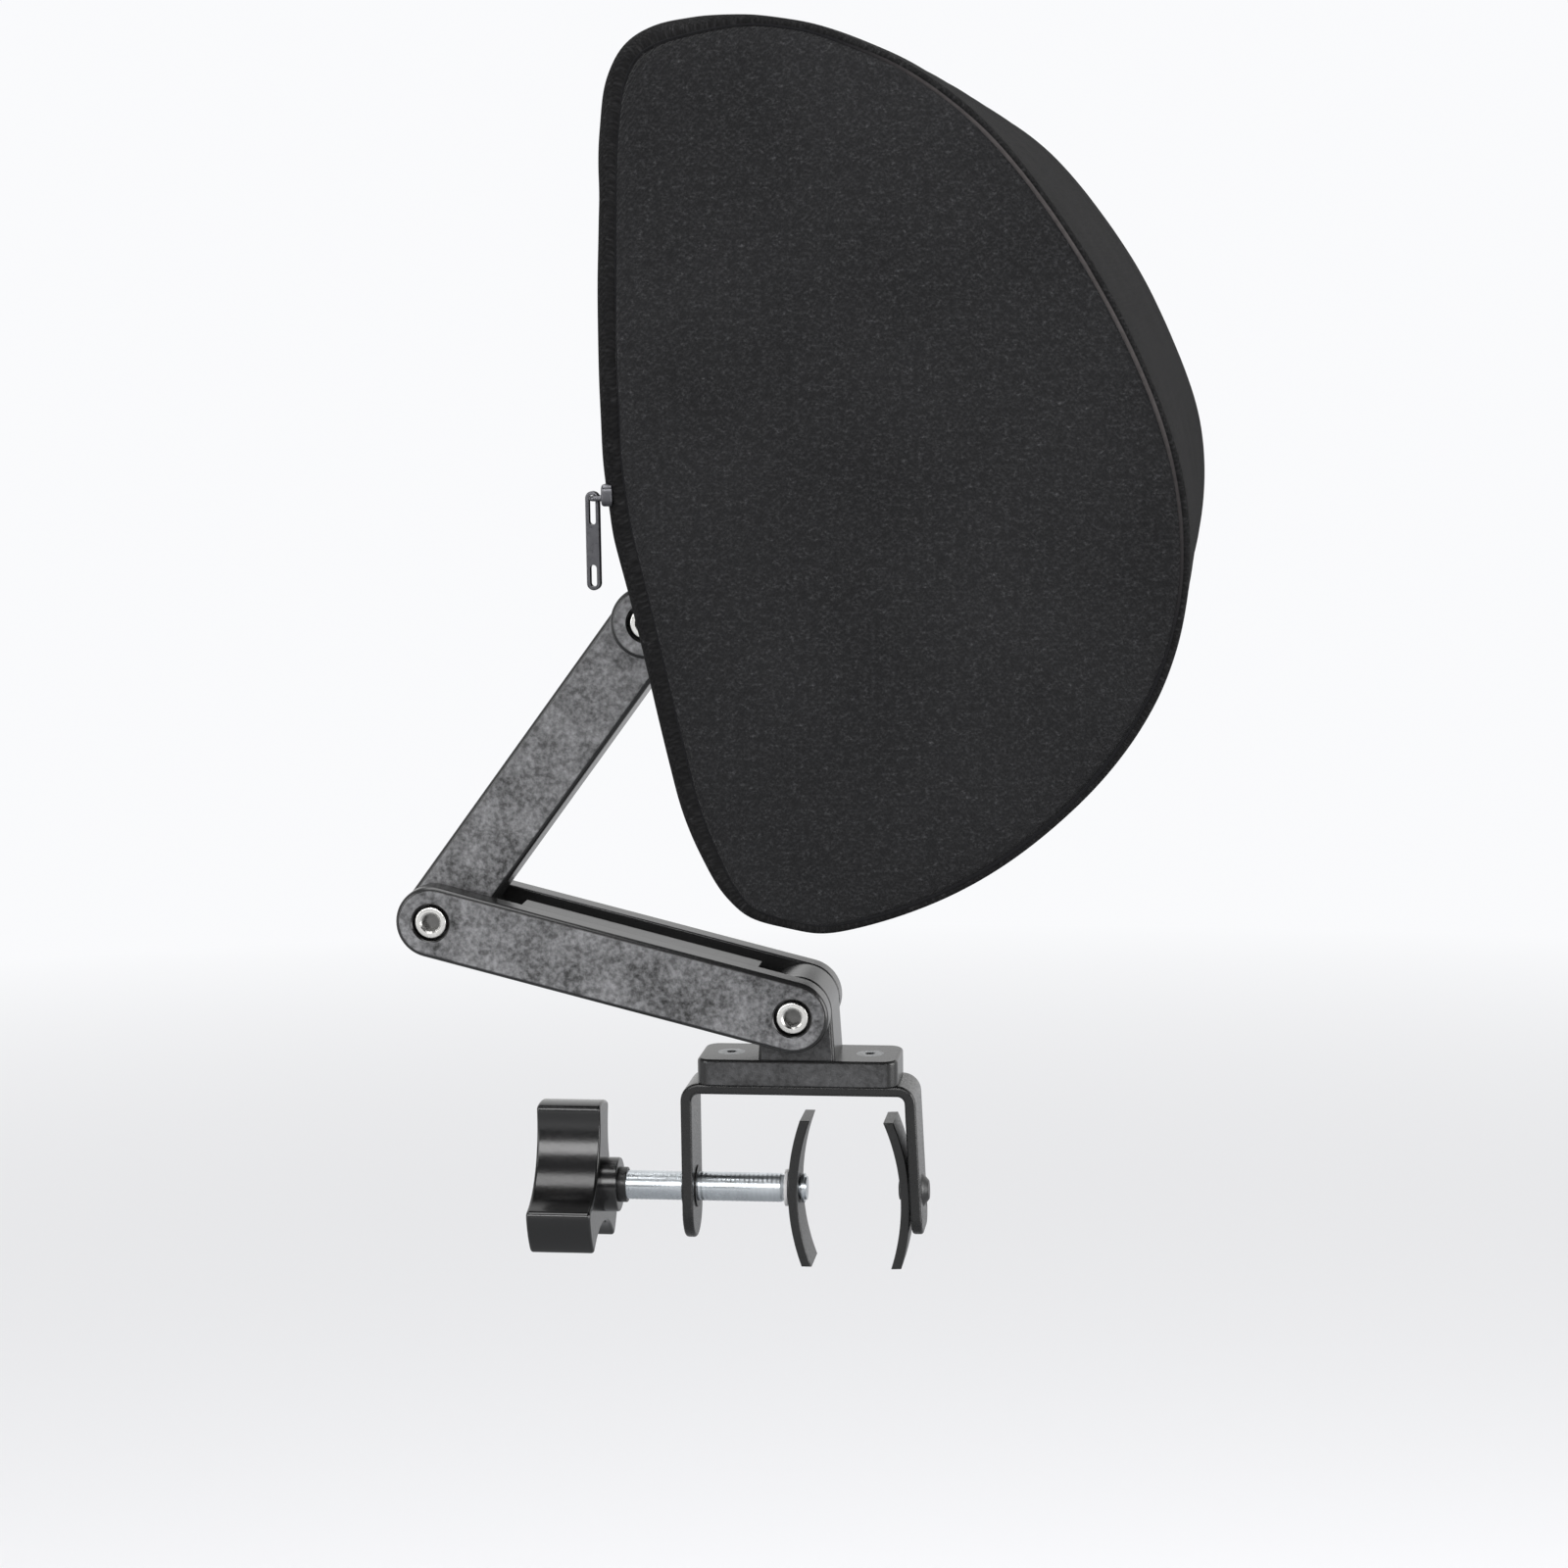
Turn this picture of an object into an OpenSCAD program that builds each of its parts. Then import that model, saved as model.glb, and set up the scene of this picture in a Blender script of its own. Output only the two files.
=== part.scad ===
// Clamp-on headrest for an office chair.
// A U-shaped steel clamp grips the top rail of the chair back. Two friction arms carry a padded pillow.
// The origin is the centre of the clamp's seat, the face that lies on top of the rail.
// +X points forwards to the user's head, +Y to the sitter's side away from the zip slider, +Z up.

/* [Clamp] */
// Outside width of the U bracket
bracket_w = 63.5; // [60:0.5:68]
// Width of the steel strip
strip_w = 18; // [16:1:22]
// Thickness of the steel strip
sheet = 3; // [2.5:0.5:3.5]
// Outside radius of the two bends
bend_r = 5; // [4:0.5:6]
// Depth of the clamp screw's axis below the seat
screw_drop = 27.5; // [26:0.5:30]
// Outward lean of the fixed leg, in degrees
leg_splay = 2.5; // [0:0.5:4]

/* [Clamp screw and knob] */
// Outside diameter of the screw's thread
screw_d = 8; // [8:1:8]
// Radius over the knob's lobes
knob_r = 23; // [21:0.5:24]
// Thickness of the knob's grip
knob_t = 17.5; // [15:0.5:20]
// Half the angle that one lobe's end covers, in degrees
lobe_half = 18; // [14:1:22]
// Turn of the first lobe away from straight up, in degrees
knob_turn = -6; // [-60:1:60]
// Position of the knob's inner face
knob_face_x = -54.5; // [-58:0.5:-52]

/* [Jaw plates] */
// Height of a jaw plate, end to end
jaw_h = 40.3; // [36:0.1:44]
// Width of a jaw plate
jaw_w = 14; // [12:1:20]
// Thickness of a jaw plate
jaw_t = 2.6; // [2:0.1:3]
// Radius of a jaw plate's outer face
jaw_r = 60.5; // [50:0.5:90]
// Position of the moving plate's outer face
jaw_x = -3.2; // [-8:0.1:0]

/* [Pivot base] */
// Length of the base along the bracket
base_l = 54; // [50:1:56]
// Width of the base's foot
base_w = 22; // [20:1:24]
// Thickness of the base's foot
base_t = 7; // [6:0.5:8]
// Height of the base pivot above the seat
pivot_z = 23; // [22.5:0.5:26]
// Distance of each base screw from the middle
base_screw_x = 18.8; // [17.5:0.1:20]

/* [Arms] */
// Distance between the two pivots of each arm
arm_pitch = 100; // [80:1:140]
// Radius of each arm's rounded ends
arm_r = 9.6; // [9.4:0.1:10.2]
// Thickness of the middle bar and of the lug
bar_t = 19; // [17:1:21]
// Thickness of each outer plate
plate_t = 7.5; // [7.5:0.5:9]
// Thickness of each friction washer
washer_t = 0.5; // [0.5:0.1:0.8]
// Lower arm's slope above horizontal, in degrees
lower_slope = 14.3; // [5:0.1:30]
// Upper arm's slope above horizontal, in degrees
upper_slope = 53.3; // [48:0.1:60]

/* [Pillow] */
// Width of the pillow across the chair
pillow_w = 290; // [240:5:320]
// Thickness of the fabric cover
cover_t = 1.2; // [1:0.1:1.5]
// Thickness of the board inside the pillow
board_t = 8; // [6:1:9]

/* [Hidden] */
$fn = 64;
slack = 0.05; // radial running clearance of a pin in its hole
over = 1; // how far a cutting shape runs past the face it cuts

// bracket
inner_x = bracket_w / 2 - sheet; // inner face of the straight leg
leg_end_r = strip_w / 2;
leg_bottom = screw_drop + leg_end_r + 5; // the straight leg's end
foot_bottom = screw_drop + 11; // the fixed leg's end
bend_z = sheet - bend_r; // level of the bends' centres
foot_corner_r = 5;
nut_body_d = 10;
nut_flange_d = 12;
nut_flange_t = 0.6;
nut_collar_d = 11.4;
nut_collar_t = 0.4;

// knob, insert and screw
hub_d = 14.8;
hub_t = 4.5;
insert_d = 9.6;
insert_stand = 2.1;
insert_l = 16;
hub_face_x = knob_face_x + hub_t;
insert_end_x = hub_face_x + insert_stand;
insert_start_x = insert_end_x - insert_l;
valley_min_r = 10.5;
core_d = 7.9; // the screw's plain stand-in for its thread

// swivel end of the screw
tip_d = 5;
washer_play = 0.4;
cap_play = 0.5;
cap_d = 8;
cap_t = 1.4;
plate_washer_t = 1;
plate_washer_d = 10;
tip_hole_d = 6.2;
washer_x = jaw_x - washer_play - plate_washer_t;
cap_x = jaw_x + jaw_t + cap_play;
jaw_mid = -(screw_drop + bend_z); // level of the fixed plate's middle, in the fixed leg's frame
rivet_d = 5;
rivet_head_d = 9;
rivet_head_t = 1.6;
rivet_gap = 0.1; // keeps the inner head off the plate's curve

// base
base_corner_r = 4;
base_top = sheet + base_t;
lug_foot = 10.6;
m4_d = 4;
m4_head_d = 7.4;
m4_head_t = 1.7;
m4_socket = 2.5;
m4_short = 0.3; // the screw ends this far above the seat
m4_hole_d = 4.3;

// pivots
m5_d = 5;
m5_head_d = 8.5;
m5_head_t = 5;
m5_socket = 4;
m5_socket_t = 2.5;
m5_nut_af = 8;
m5_nut_t = 4;
nut_pocket_af = 8.2;
counterbore_d = 10;
counterbore_t = 5.2;
pocket_t = 4.4;
washer_d = 17;
plate_y = bar_t / 2 + washer_t; // inner face of each outer plate
outer_y = plate_y + plate_t;
bolt_seat_y = outer_y - counterbore_t;
nut_seat_y = outer_y - pocket_t;
m5_shank = nut_seat_y + m5_nut_t + bolt_seat_y;
spacer_ends = [13, 79]; // the stretch of the lower arm that the spacer's web fills
spacer_r = arm_r - 1.2; // the web's edges lie this far from the arm's middle line
spacer_faces = [-6, 3.5]; // positions of the web's two faces across the arm
boss_r = 6;
boss_inset = 10; // distance of each boss from the web's end
elbow_x = -arm_pitch * cos(lower_slope);
elbow_z = pivot_z + arm_pitch * sin(lower_slope);
head_x = elbow_x + arm_pitch * cos(upper_slope);
head_z = elbow_z + arm_pitch * sin(upper_slope);

// pillow, as an outline in X and Z
front_x = 8.5;
front_z = 170;
front_start = 72; // the rounded front starts at this angle
front_step = -7; // and has one radius for each step
front_radii = [101, 99.2, 97.3, 95.3, 93.4, 92.3, 91.9, 92.1, 93.1, 94.6, 96.4, 98.1, 99.8, 101.2,
    101.9, 102, 101.8, 101.6, 101.5, 101.5, 101.5, 101.5, 101.5];
seat_low = [-4.5, 92]; // lower end of the flat that the mount lies on
seat_high = [-22.375, 162]; // and its upper end
seat_lean = atan2(seat_low[0] - seat_high[0], seat_high[1] - seat_low[1]);
back_points = [[6.5, 73.6], [0.5, 80.5], seat_low, seat_high, [-22.6, 164.4], [-20.6, 166.2],
    [-20.6, 173.2], [-24.2, 176], [-24.6, 195], [-24.6, 218], [-23.9, 244], [-22.2, 261],
    [-18.6, 269.5], [-11.5, 273.6], [-1, 274.8], [10, 274.7], [24, 272.3]];
foam_gap = 0.1;
panel_inset = pillow_w / 2 - cover_t;

// headrest mount, in its own frame: u runs up the pillow's back, n away from it
head_u = (head_z - seat_low[1]) * cos(seat_lean) - (head_x - seat_low[0]) * sin(seat_lean);
head_n = -(head_x - seat_low[0]) * cos(seat_lean) - (head_z - seat_low[1]) * sin(seat_lean);
foot_l = 44;
foot_w = 44;
foot_t = 5;
foot_round = 6;
ear_foot = 12;
mount_screw_u = 16.5;
mount_screw_y = 16;
mount_screw_d = 5;
mount_head_d = 9.4;
mount_head_t = 2.4;
mount_hole_d = 5.4;
board_h = 52;
board_w = 220;
tnut_d = 6.6;
tnut_flange_d = 15;
tnut_flange_t = 1.4;

// zip
chain_h = 6.4;
chain_t = 1.8;
chain_l = 276;
chain_z = 169.4;
chain_x = -20.6;
slider_y = -140.2;
slider_l = 9;
slider_w = 5.6;
slider_t = 2.6;
slider_play = 0.3;
slider_x = chain_x - chain_t - slider_play - slider_t;
bail_d = 1.2;
bail_x = slider_x - 2.6;
bail_z = chain_z - 0.8;
bail_l = 6.4;
bail_arm_h = 2.4;
puller_l = 22.4;
puller_w = 3.2;
puller_t = 2.2;
puller_rail = 0.8;
puller_web = [-15, -6]; // the stretch between the two windows, down from the arch
web_t = 1.2;

// Lays a flat X-Z drawing on the plane at y. Its thickness then grows towards -Y.
module from_y(y) { translate([0, y, 0]) rotate([90, 0, 0]) children(); }

// Lays a drawing on the plane at x. Its thickness grows towards +X, its x axis is Y and its y axis is Z.
module from_x(x) { translate([x, 0, 0]) rotate([90, 0, 90]) children(); }

// Puts an arm drawn along +X from its first pivot at a pivot and a slope.
module on_arm(x, z, slope) { translate([x, 0, z]) rotate([0, -slope, 0]) children(); }

// Frame of the pillow's slanted back: +X runs out of the pillow, +Z up its back.
module on_back() {
    translate([seat_low[0], 0, seat_low[1]]) rotate([0, -seat_lean, 0])
        translate([0, 0, head_u]) mirror([1, 0, 0]) children();
}

module rounded_rect(l, w, r) {
    square([l - 2 * r, w], center = true);
    square([l, w - 2 * r], center = true);
    for (sx = [-1, 1], sy = [-1, 1]) translate([sx * (l / 2 - r), sy * (w / 2 - r)]) circle(r);
}

module hex(af) { circle(d = af / cos(30), $fn = 6); }

module ring(outer, inner, h) {
    difference() {
        cylinder(h = h, d = outer);
        translate([0, 0, -over]) cylinder(h = h + 2 * over, d = inner);
    }
}

// Quarter-round bend of the strip.
module bend() {
    intersection() {
        difference() {
            circle(bend_r);
            circle(bend_r - sheet);
        }
        square(2 * bend_r);
    }
}

// Frame of the fixed leg: its inner face is at X 0, and Z runs up the leg to the bend.
module on_fixed_leg() {
    translate([bracket_w / 2 - sheet, 0, bend_z]) rotate([0, -leg_splay, 0]) children();
}

// The strip seen from its edge, with the straight leg on the left and the fixed one on the right.
module bracket_profile() {
    flat = bracket_w / 2 - bend_r;
    leg = bend_z + foot_bottom;
    spread = leg * tan(leg_splay);
    translate([-flat, 0]) square([2 * flat, sheet]);
    translate([flat, bend_z]) bend();
    translate([-flat, bend_z]) mirror([1, 0]) bend();
    translate([-bracket_w / 2, -leg_bottom]) square([sheet, bend_z + leg_bottom]);
    translate([bracket_w / 2 - sheet, bend_z])
        polygon([[0, 0], [spread, -leg], [spread + sheet, -leg], [sheet, 0]]);
}

// What is cut off the corners of a leg's end, drawn for a leg that ends at the drawing's y 0.
module leg_corners(r) {
    for (s = [-1, 1]) translate([s * strip_w / 2, 0]) difference() {
        square(2 * r, center = true);
        translate([-s * r, r]) circle(r);
    }
}

module clamp_bracket() {
    color("#202123") difference() {
        from_y(strip_w / 2) linear_extrude(strip_w) bracket_profile();
        translate([0, 0, -leg_bottom]) from_x(-bracket_w / 2 - over)
            linear_extrude(sheet + 2 * over) leg_corners(leg_end_r);
        translate([0, 0, -foot_bottom]) from_x(bracket_w / 2 - sheet)
            linear_extrude(bend_r) leg_corners(foot_corner_r);
        translate([0, 0, -screw_drop]) from_x(-bracket_w / 2 - over)
            cylinder(h = sheet + 2 * over, d = nut_body_d);
        for (s = [-1, 1]) translate([s * base_screw_x, 0, -over])
            cylinder(h = sheet + 2 * over, d = m4_d);
        on_fixed_leg() translate([0, 0, jaw_mid]) from_x(-over) cylinder(h = bend_r, d = rivet_d);
    }
}

// Threaded rivet nut, pressed into the straight leg.
module clamp_nut() {
    color("#3a3b3d") translate([0, 0, -screw_drop]) from_x(-bracket_w / 2 - nut_flange_t) difference() {
        union() {
            cylinder(h = nut_flange_t, d = nut_flange_d);
            cylinder(h = nut_flange_t + sheet, d = nut_body_d);
            translate([0, 0, nut_flange_t + sheet]) cylinder(h = nut_collar_t, d = nut_collar_d);
        }
        translate([0, 0, -over]) cylinder(h = sheet + 4 * over, d = core_d + 2 * slack);
    }
}

module clamp_screw() {
    shoulder = washer_x - slack;
    color("#c9ccce") translate([0, 0, -screw_drop]) {
        from_x(insert_start_x) cylinder(h = shoulder - insert_start_x, d = core_d);
        from_x(shoulder - over) cylinder(h = cap_x + cap_t / 2 - shoulder + over, d = tip_d);
    }
}

// Round cap peened over the screw's tip. It keeps the plate on.
module screw_tip_cap() {
    color("#b4b7b9") translate([0, 0, -screw_drop]) from_x(cap_x) difference() {
        union() {
            cylinder(h = cap_t - 0.6, d = cap_d);
            cylinder(h = cap_t, d = cap_d - 1.6);
        }
        translate([0, 0, -over]) cylinder(h = over + cap_t / 2, d = tip_d);
    }
}

module knob_insert() {
    color("#55575a") translate([0, 0, -screw_drop]) from_x(insert_start_x) ring(insert_d, core_d, insert_l);
}

// A round knob with three wide lobes, which three round valleys leave between them.
module clamp_knob() {
    corner = 60 - lobe_half;
    cx = knob_r * cos(corner);
    cy = knob_r * sin(corner);
    valley_x = (cx * cx + cy * cy - valley_min_r * valley_min_r) / (2 * (cx - valley_min_r));
    color("#1c1d1f") translate([0, 0, -screw_drop]) difference() {
        union() {
            from_x(knob_face_x - knob_t) difference() {
                cylinder(h = knob_t, r = knob_r);
                for (i = [0:2]) rotate(90 + knob_turn + 60 + 120 * i)
                    translate([valley_x, 0, -over])
                        cylinder(h = knob_t + 2 * over, r = valley_x - valley_min_r);
            }
            from_x(knob_face_x - over) cylinder(h = hub_t + over, d = hub_d);
        }
        from_x(insert_start_x) cylinder(h = insert_l, d = insert_d);
    }
}

module plate_washer() {
    color("#d8d8d4") translate([0, 0, -screw_drop]) from_x(washer_x)
        ring(plate_washer_d, tip_d + 2 * slack, plate_washer_t);
}

// Curved plate. Its outer face touches the plane at x = 0 and it curls towards +X.
module jaw_blank(hole_d) {
    difference() {
        intersection() {
            from_y(jaw_w / 2) translate([jaw_r, 0]) ring(2 * jaw_r, 2 * (jaw_r - jaw_t), jaw_w);
            translate([-over, -jaw_w, -jaw_h / 2]) cube([jaw_r / 2, 2 * jaw_w, jaw_h]);
        }
        from_x(-over) cylinder(h = jaw_t + 2 * over, d = hole_d);
    }
}

module pressure_plate() {
    color("#2a2b2d") translate([jaw_x, 0, -screw_drop]) jaw_blank(tip_hole_d);
}

module jaw_plate() {
    color("#2a2b2d") on_fixed_leg() translate([0, 0, jaw_mid])
        mirror([1, 0, 0]) jaw_blank(rivet_d);
}

module jaw_rivet() {
    color("#333436") on_fixed_leg() translate([0, 0, jaw_mid]) {
        from_x(-jaw_t - rivet_gap) cylinder(h = jaw_t + rivet_gap + sheet, d = rivet_d);
        from_x(sheet) cylinder(h = rivet_head_t, d1 = rivet_head_d, d2 = rivet_d);
        from_x(-jaw_t - rivet_gap - rivet_head_t / 2)
            cylinder(h = rivet_head_t / 2, d1 = rivet_d, d2 = rivet_d + 1);
    }
}

// Foot with two countersunk holes and the lug that the lower arm turns on.
module pivot_base() {
    color("#2c2d2f") difference() {
        union() {
            translate([0, 0, sheet]) linear_extrude(base_t) rounded_rect(base_l, base_w, base_corner_r);
            from_y(bar_t / 2) linear_extrude(bar_t) {
                translate([0, pivot_z]) circle(arm_r);
                polygon([[-lug_foot, base_top - over], [lug_foot, base_top - over], [arm_r, pivot_z],
                    [-arm_r, pivot_z]]);
            }
        }
        from_y(bar_t) translate([0, pivot_z]) cylinder(h = 2 * bar_t, d = m5_d + 2 * slack);
        for (s = [-1, 1]) translate([s * base_screw_x, 0, base_top]) {
            translate([0, 0, -m4_head_t]) cylinder(h = m4_head_t, d1 = m4_d, d2 = m4_head_d);
            translate([0, 0, -base_t - over]) cylinder(h = base_t + over, d = m4_hole_d);
        }
    }
}

module base_screws() {
    color("#b9bcbe") for (s = [-1, 1]) translate([s * base_screw_x, 0, 0]) difference() {
        union() {
            translate([0, 0, m4_short]) cylinder(h = base_top - m4_short - m4_head_t, d = m4_d);
            translate([0, 0, base_top - m4_head_t]) cylinder(h = m4_head_t, d1 = m4_d, d2 = m4_head_d);
        }
        translate([0, 0, base_top - m4_head_t]) linear_extrude(2 * m4_head_t) hex(m4_socket);
    }
}

// Two friction washers, one on each face of a middle bar.
module washer_pair(x, z) {
    color("#8d8f90") for (y = [bar_t / 2 + washer_t - slack, -bar_t / 2])
        from_y(y) translate([x, z]) ring(washer_d, m5_d + 2 * slack, washer_t - slack);
}

// Socket-cap bolt of a pivot, with its head on the near side.
module pivot_bolt(x, z) {
    color("#d5d7d8") from_y(nut_seat_y + m5_nut_t) translate([x, z]) difference() {
        union() {
            cylinder(h = m5_shank, d = m5_d);
            translate([0, 0, m5_shank]) cylinder(h = m5_head_t, d = m5_head_d);
        }
        translate([0, 0, m5_shank + m5_head_t - m5_socket_t]) linear_extrude(2 * m5_socket_t) hex(m5_socket);
    }
}

module pivot_nut(x, z, slope) {
    color("#c4c7c9") from_y(nut_seat_y + m5_nut_t) translate([x, z]) rotate(slope) difference() {
        linear_extrude(m5_nut_t) hex(m5_nut_af);
        translate([0, 0, -over]) cylinder(h = m5_nut_t + 2 * over, d = m5_d);
    }
}

// Outline of a bar with two round ends, from the origin along +X.
module bar_outline(l, r) {
    translate([0, -r]) square([l, 2 * r]);
    circle(r);
    translate([l, 0]) circle(r);
}

// Holes for the bolt and its head, through a plate whose outer face is at -Y outer_y.
module near_holes() {
    from_y(0) cylinder(h = 2 * outer_y, d = m5_d);
    from_y(-bolt_seat_y) cylinder(h = counterbore_t + over, d = counterbore_d);
}

// Holes for the bolt and its captive nut, through a plate whose outer face is at +Y outer_y.
module far_holes() {
    from_y(2 * outer_y) cylinder(h = 2 * outer_y, d = m5_d);
    from_y(outer_y + over) linear_extrude(pocket_t + over) hex(nut_pocket_af);
}

module lower_arm_near() {
    color("#3b3d40") on_arm(0, pivot_z, 180 - lower_slope) difference() {
        from_y(-plate_y) linear_extrude(plate_t) bar_outline(arm_pitch, arm_r);
        for (x = [0, arm_pitch]) translate([x, 0, 0]) near_holes();
    }
}

module lower_arm_far() {
    color("#3b3d40") on_arm(0, pivot_z, 180 - lower_slope) difference() {
        from_y(outer_y) linear_extrude(plate_t) bar_outline(arm_pitch, arm_r);
        for (x = [0, arm_pitch]) translate([x, 0, 0]) far_holes();
    }
}

// Web between the lower arm's two plates, with two round bosses that keep the plates apart.
module arm_spacer() {
    half = plate_y - slack;
    color("#3b3d40") on_arm(0, pivot_z, 180 - lower_slope) {
        translate([spacer_ends[0], spacer_faces[0], -spacer_r])
            cube([spacer_ends[1] - spacer_ends[0], spacer_faces[1] - spacer_faces[0], 2 * spacer_r]);
        for (x = [spacer_ends[0] + boss_inset, spacer_ends[1] - boss_inset])
            from_y(half) translate([x, 0]) cylinder(h = 2 * half, r = boss_r);
    }
}

module upper_arm() {
    color("#3b3d40") on_arm(elbow_x, elbow_z, upper_slope) difference() {
        from_y(bar_t / 2) linear_extrude(bar_t) bar_outline(arm_pitch, arm_r);
        for (x = [0, arm_pitch]) from_y(bar_t) translate([x, 0])
            cylinder(h = 2 * bar_t, d = m5_d + 2 * slack);
    }
}

// Screw positions on the mount's foot.
module mount_spots() {
    for (u = [-1, 1], y = [-1, 1]) translate([0, y * mount_screw_y, u * mount_screw_u]) children();
}

// Foot on the pillow's back and two ears that hold the upper arm between them.
module headrest_mount() {
    color("#303234") on_back() difference() {
        union() {
            from_x(0) linear_extrude(foot_t) rounded_rect(foot_w, foot_l, foot_round);
            for (y = [outer_y, -plate_y]) from_y(y) linear_extrude(plate_t) {
                translate([head_n, 0]) circle(arm_r);
                polygon([[foot_t - over, -ear_foot], [head_n, -arm_r], [head_n, arm_r],
                    [foot_t - over, ear_foot]]);
            }
        }
        translate([head_n, 0, 0]) {
            near_holes();
            far_holes();
        }
        mount_spots() {
            from_x(-over) cylinder(h = foot_t + 2 * over, d = mount_hole_d);
            from_x(foot_t - mount_head_t) cylinder(h = mount_head_t, d1 = mount_screw_d, d2 = mount_head_d);
        }
    }
}

module mount_screws() {
    color("#b9bcbe") on_back() mount_spots() difference() {
        union() {
            from_x(-cover_t - board_t)
                cylinder(h = cover_t + board_t + foot_t - mount_head_t, d = mount_screw_d);
            from_x(foot_t - mount_head_t) cylinder(h = mount_head_t, d1 = mount_screw_d, d2 = mount_head_d);
        }
        from_x(foot_t - mount_head_t) linear_extrude(2 * mount_head_t) hex(m5_socket * 0.75);
    }
}

// Plywood board between the cover and the foam.
module mounting_board() {
    color("#b98d5a") on_back() difference() {
        from_x(-cover_t - board_t) linear_extrude(board_t) rounded_rect(board_w, board_h, foot_round);
        mount_spots() tnut_solid(over);
    }
}

// A T-nut's barrel and flange, with the barrel run past the board's outer face by `past`.
module tnut_solid(past) {
    from_x(-cover_t - board_t) cylinder(h = board_t + past, d = tnut_d);
    from_x(-cover_t - board_t - past) cylinder(h = tnut_flange_t + past, d = tnut_flange_d);
}

module board_tnuts() {
    color("#a7aaac") on_back() mount_spots() difference() {
        tnut_solid(0);
        from_x(-cover_t - board_t - over) cylinder(h = board_t + 2 * over, d = mount_screw_d);
    }
}

// Side view of the pillow: the front as radii about one centre and the back as a few points.
module pillow_outline() {
    polygon(concat(
        [for (i = [0:len(front_radii) - 1]) let (a = front_start + front_step * i)
            [front_x + front_radii[i] * cos(a), front_z + front_radii[i] * sin(a)]],
        back_points));
}

module pillow_foam() {
    half = panel_inset - foam_gap;
    color("#d9d2b8") difference() {
        from_y(half) linear_extrude(2 * half) offset(delta = -cover_t - foam_gap) pillow_outline();
        on_back() from_x(-cover_t - board_t - foam_gap) linear_extrude(2 * board_t)
            rounded_rect(board_w + 2 * foam_gap, board_h + 2 * foam_gap, foot_round);
    }
}

// Front and back fabric, open at both ends.
module cover_wrap() {
    color("#26272b") difference() {
        from_y(panel_inset) linear_extrude(2 * panel_inset) difference() {
            pillow_outline();
            offset(delta = -cover_t) pillow_outline();
        }
        on_back() mount_spots() from_x(-2 * cover_t) cylinder(h = 4 * cover_t, d = mount_screw_d);
    }
}

module side_panel(y) { from_y(y) linear_extrude(cover_t) pillow_outline(); }

module side_panel_near() { color("#2c2d30") side_panel(-panel_inset); }

module side_panel_far() { color("#2c2d30") side_panel(pillow_w / 2); }

// Closed coil chain with its tapes, laid in the step of the pillow's back.
module zip_chain() {
    color("#17181a") translate([chain_x - chain_t, -chain_l / 2, chain_z - chain_h / 2])
        cube([chain_t, chain_l, chain_h]);
}

// Slider on the chain, with the small arch that holds the puller.
module zip_slider() {
    color("#77797c") {
        translate([slider_x, slider_y - slider_l / 2, chain_z - slider_w / 2])
            cube([slider_t, slider_l, slider_w]);
        from_y(slider_y + bail_l / 2) translate([bail_x, bail_z]) cylinder(h = bail_l, d = bail_d);
        for (s = [-1, 1])
            translate([bail_x, slider_y + (s * (bail_l - bail_d) - bail_d) / 2, bail_z - bail_d / 2])
                cube([slider_x - bail_x + bail_d / 2, bail_d, bail_arm_h]);
    }
}

// Long narrow loop that hangs from the slider's arch, with a web across its middle.
module zip_puller() {
    rail_l = puller_l - puller_w;
    color("#5d5f62") translate([bail_x, slider_y, bail_z]) {
        from_y(puller_t / 2) linear_extrude(puller_t) difference() {
            puller_outline(rail_l, puller_w / 2);
            puller_outline(rail_l, puller_w / 2 - puller_rail);
        }
        from_y(web_t / 2) linear_extrude(web_t) translate([-puller_w / 2 + puller_rail / 2, puller_web[0]])
            square([puller_w - puller_rail, puller_web[1] - puller_web[0]]);
    }
}

module puller_outline(l, r) { rotate(-90) bar_outline(l, r); }

clamp_bracket();
clamp_nut();
clamp_screw();
screw_tip_cap();
knob_insert();
clamp_knob();
plate_washer();
pressure_plate();
jaw_plate();
jaw_rivet();
pivot_base();
base_screws();
washer_pair(0, pivot_z);  // base_washers
pivot_bolt(0, pivot_z);  // base_bolt
pivot_nut(0, pivot_z, -lower_slope);  // base_nut
lower_arm_near();
lower_arm_far();
arm_spacer();
pivot_bolt(elbow_x, elbow_z);  // elbow_bolt
pivot_nut(elbow_x, elbow_z, -lower_slope);  // elbow_nut
washer_pair(elbow_x, elbow_z);  // elbow_washers
upper_arm();
washer_pair(head_x, head_z);  // head_washers
pivot_bolt(head_x, head_z);  // head_bolt
pivot_nut(head_x, head_z, seat_lean);  // head_nut
headrest_mount();
mount_screws();
mounting_board();
board_tnuts();
pillow_foam();
cover_wrap();
side_panel_near();
side_panel_far();
zip_chain();
zip_slider();
zip_puller();
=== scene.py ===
import math

import bpy
import bmesh
from mathutils import Matrix, Vector, noise


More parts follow.
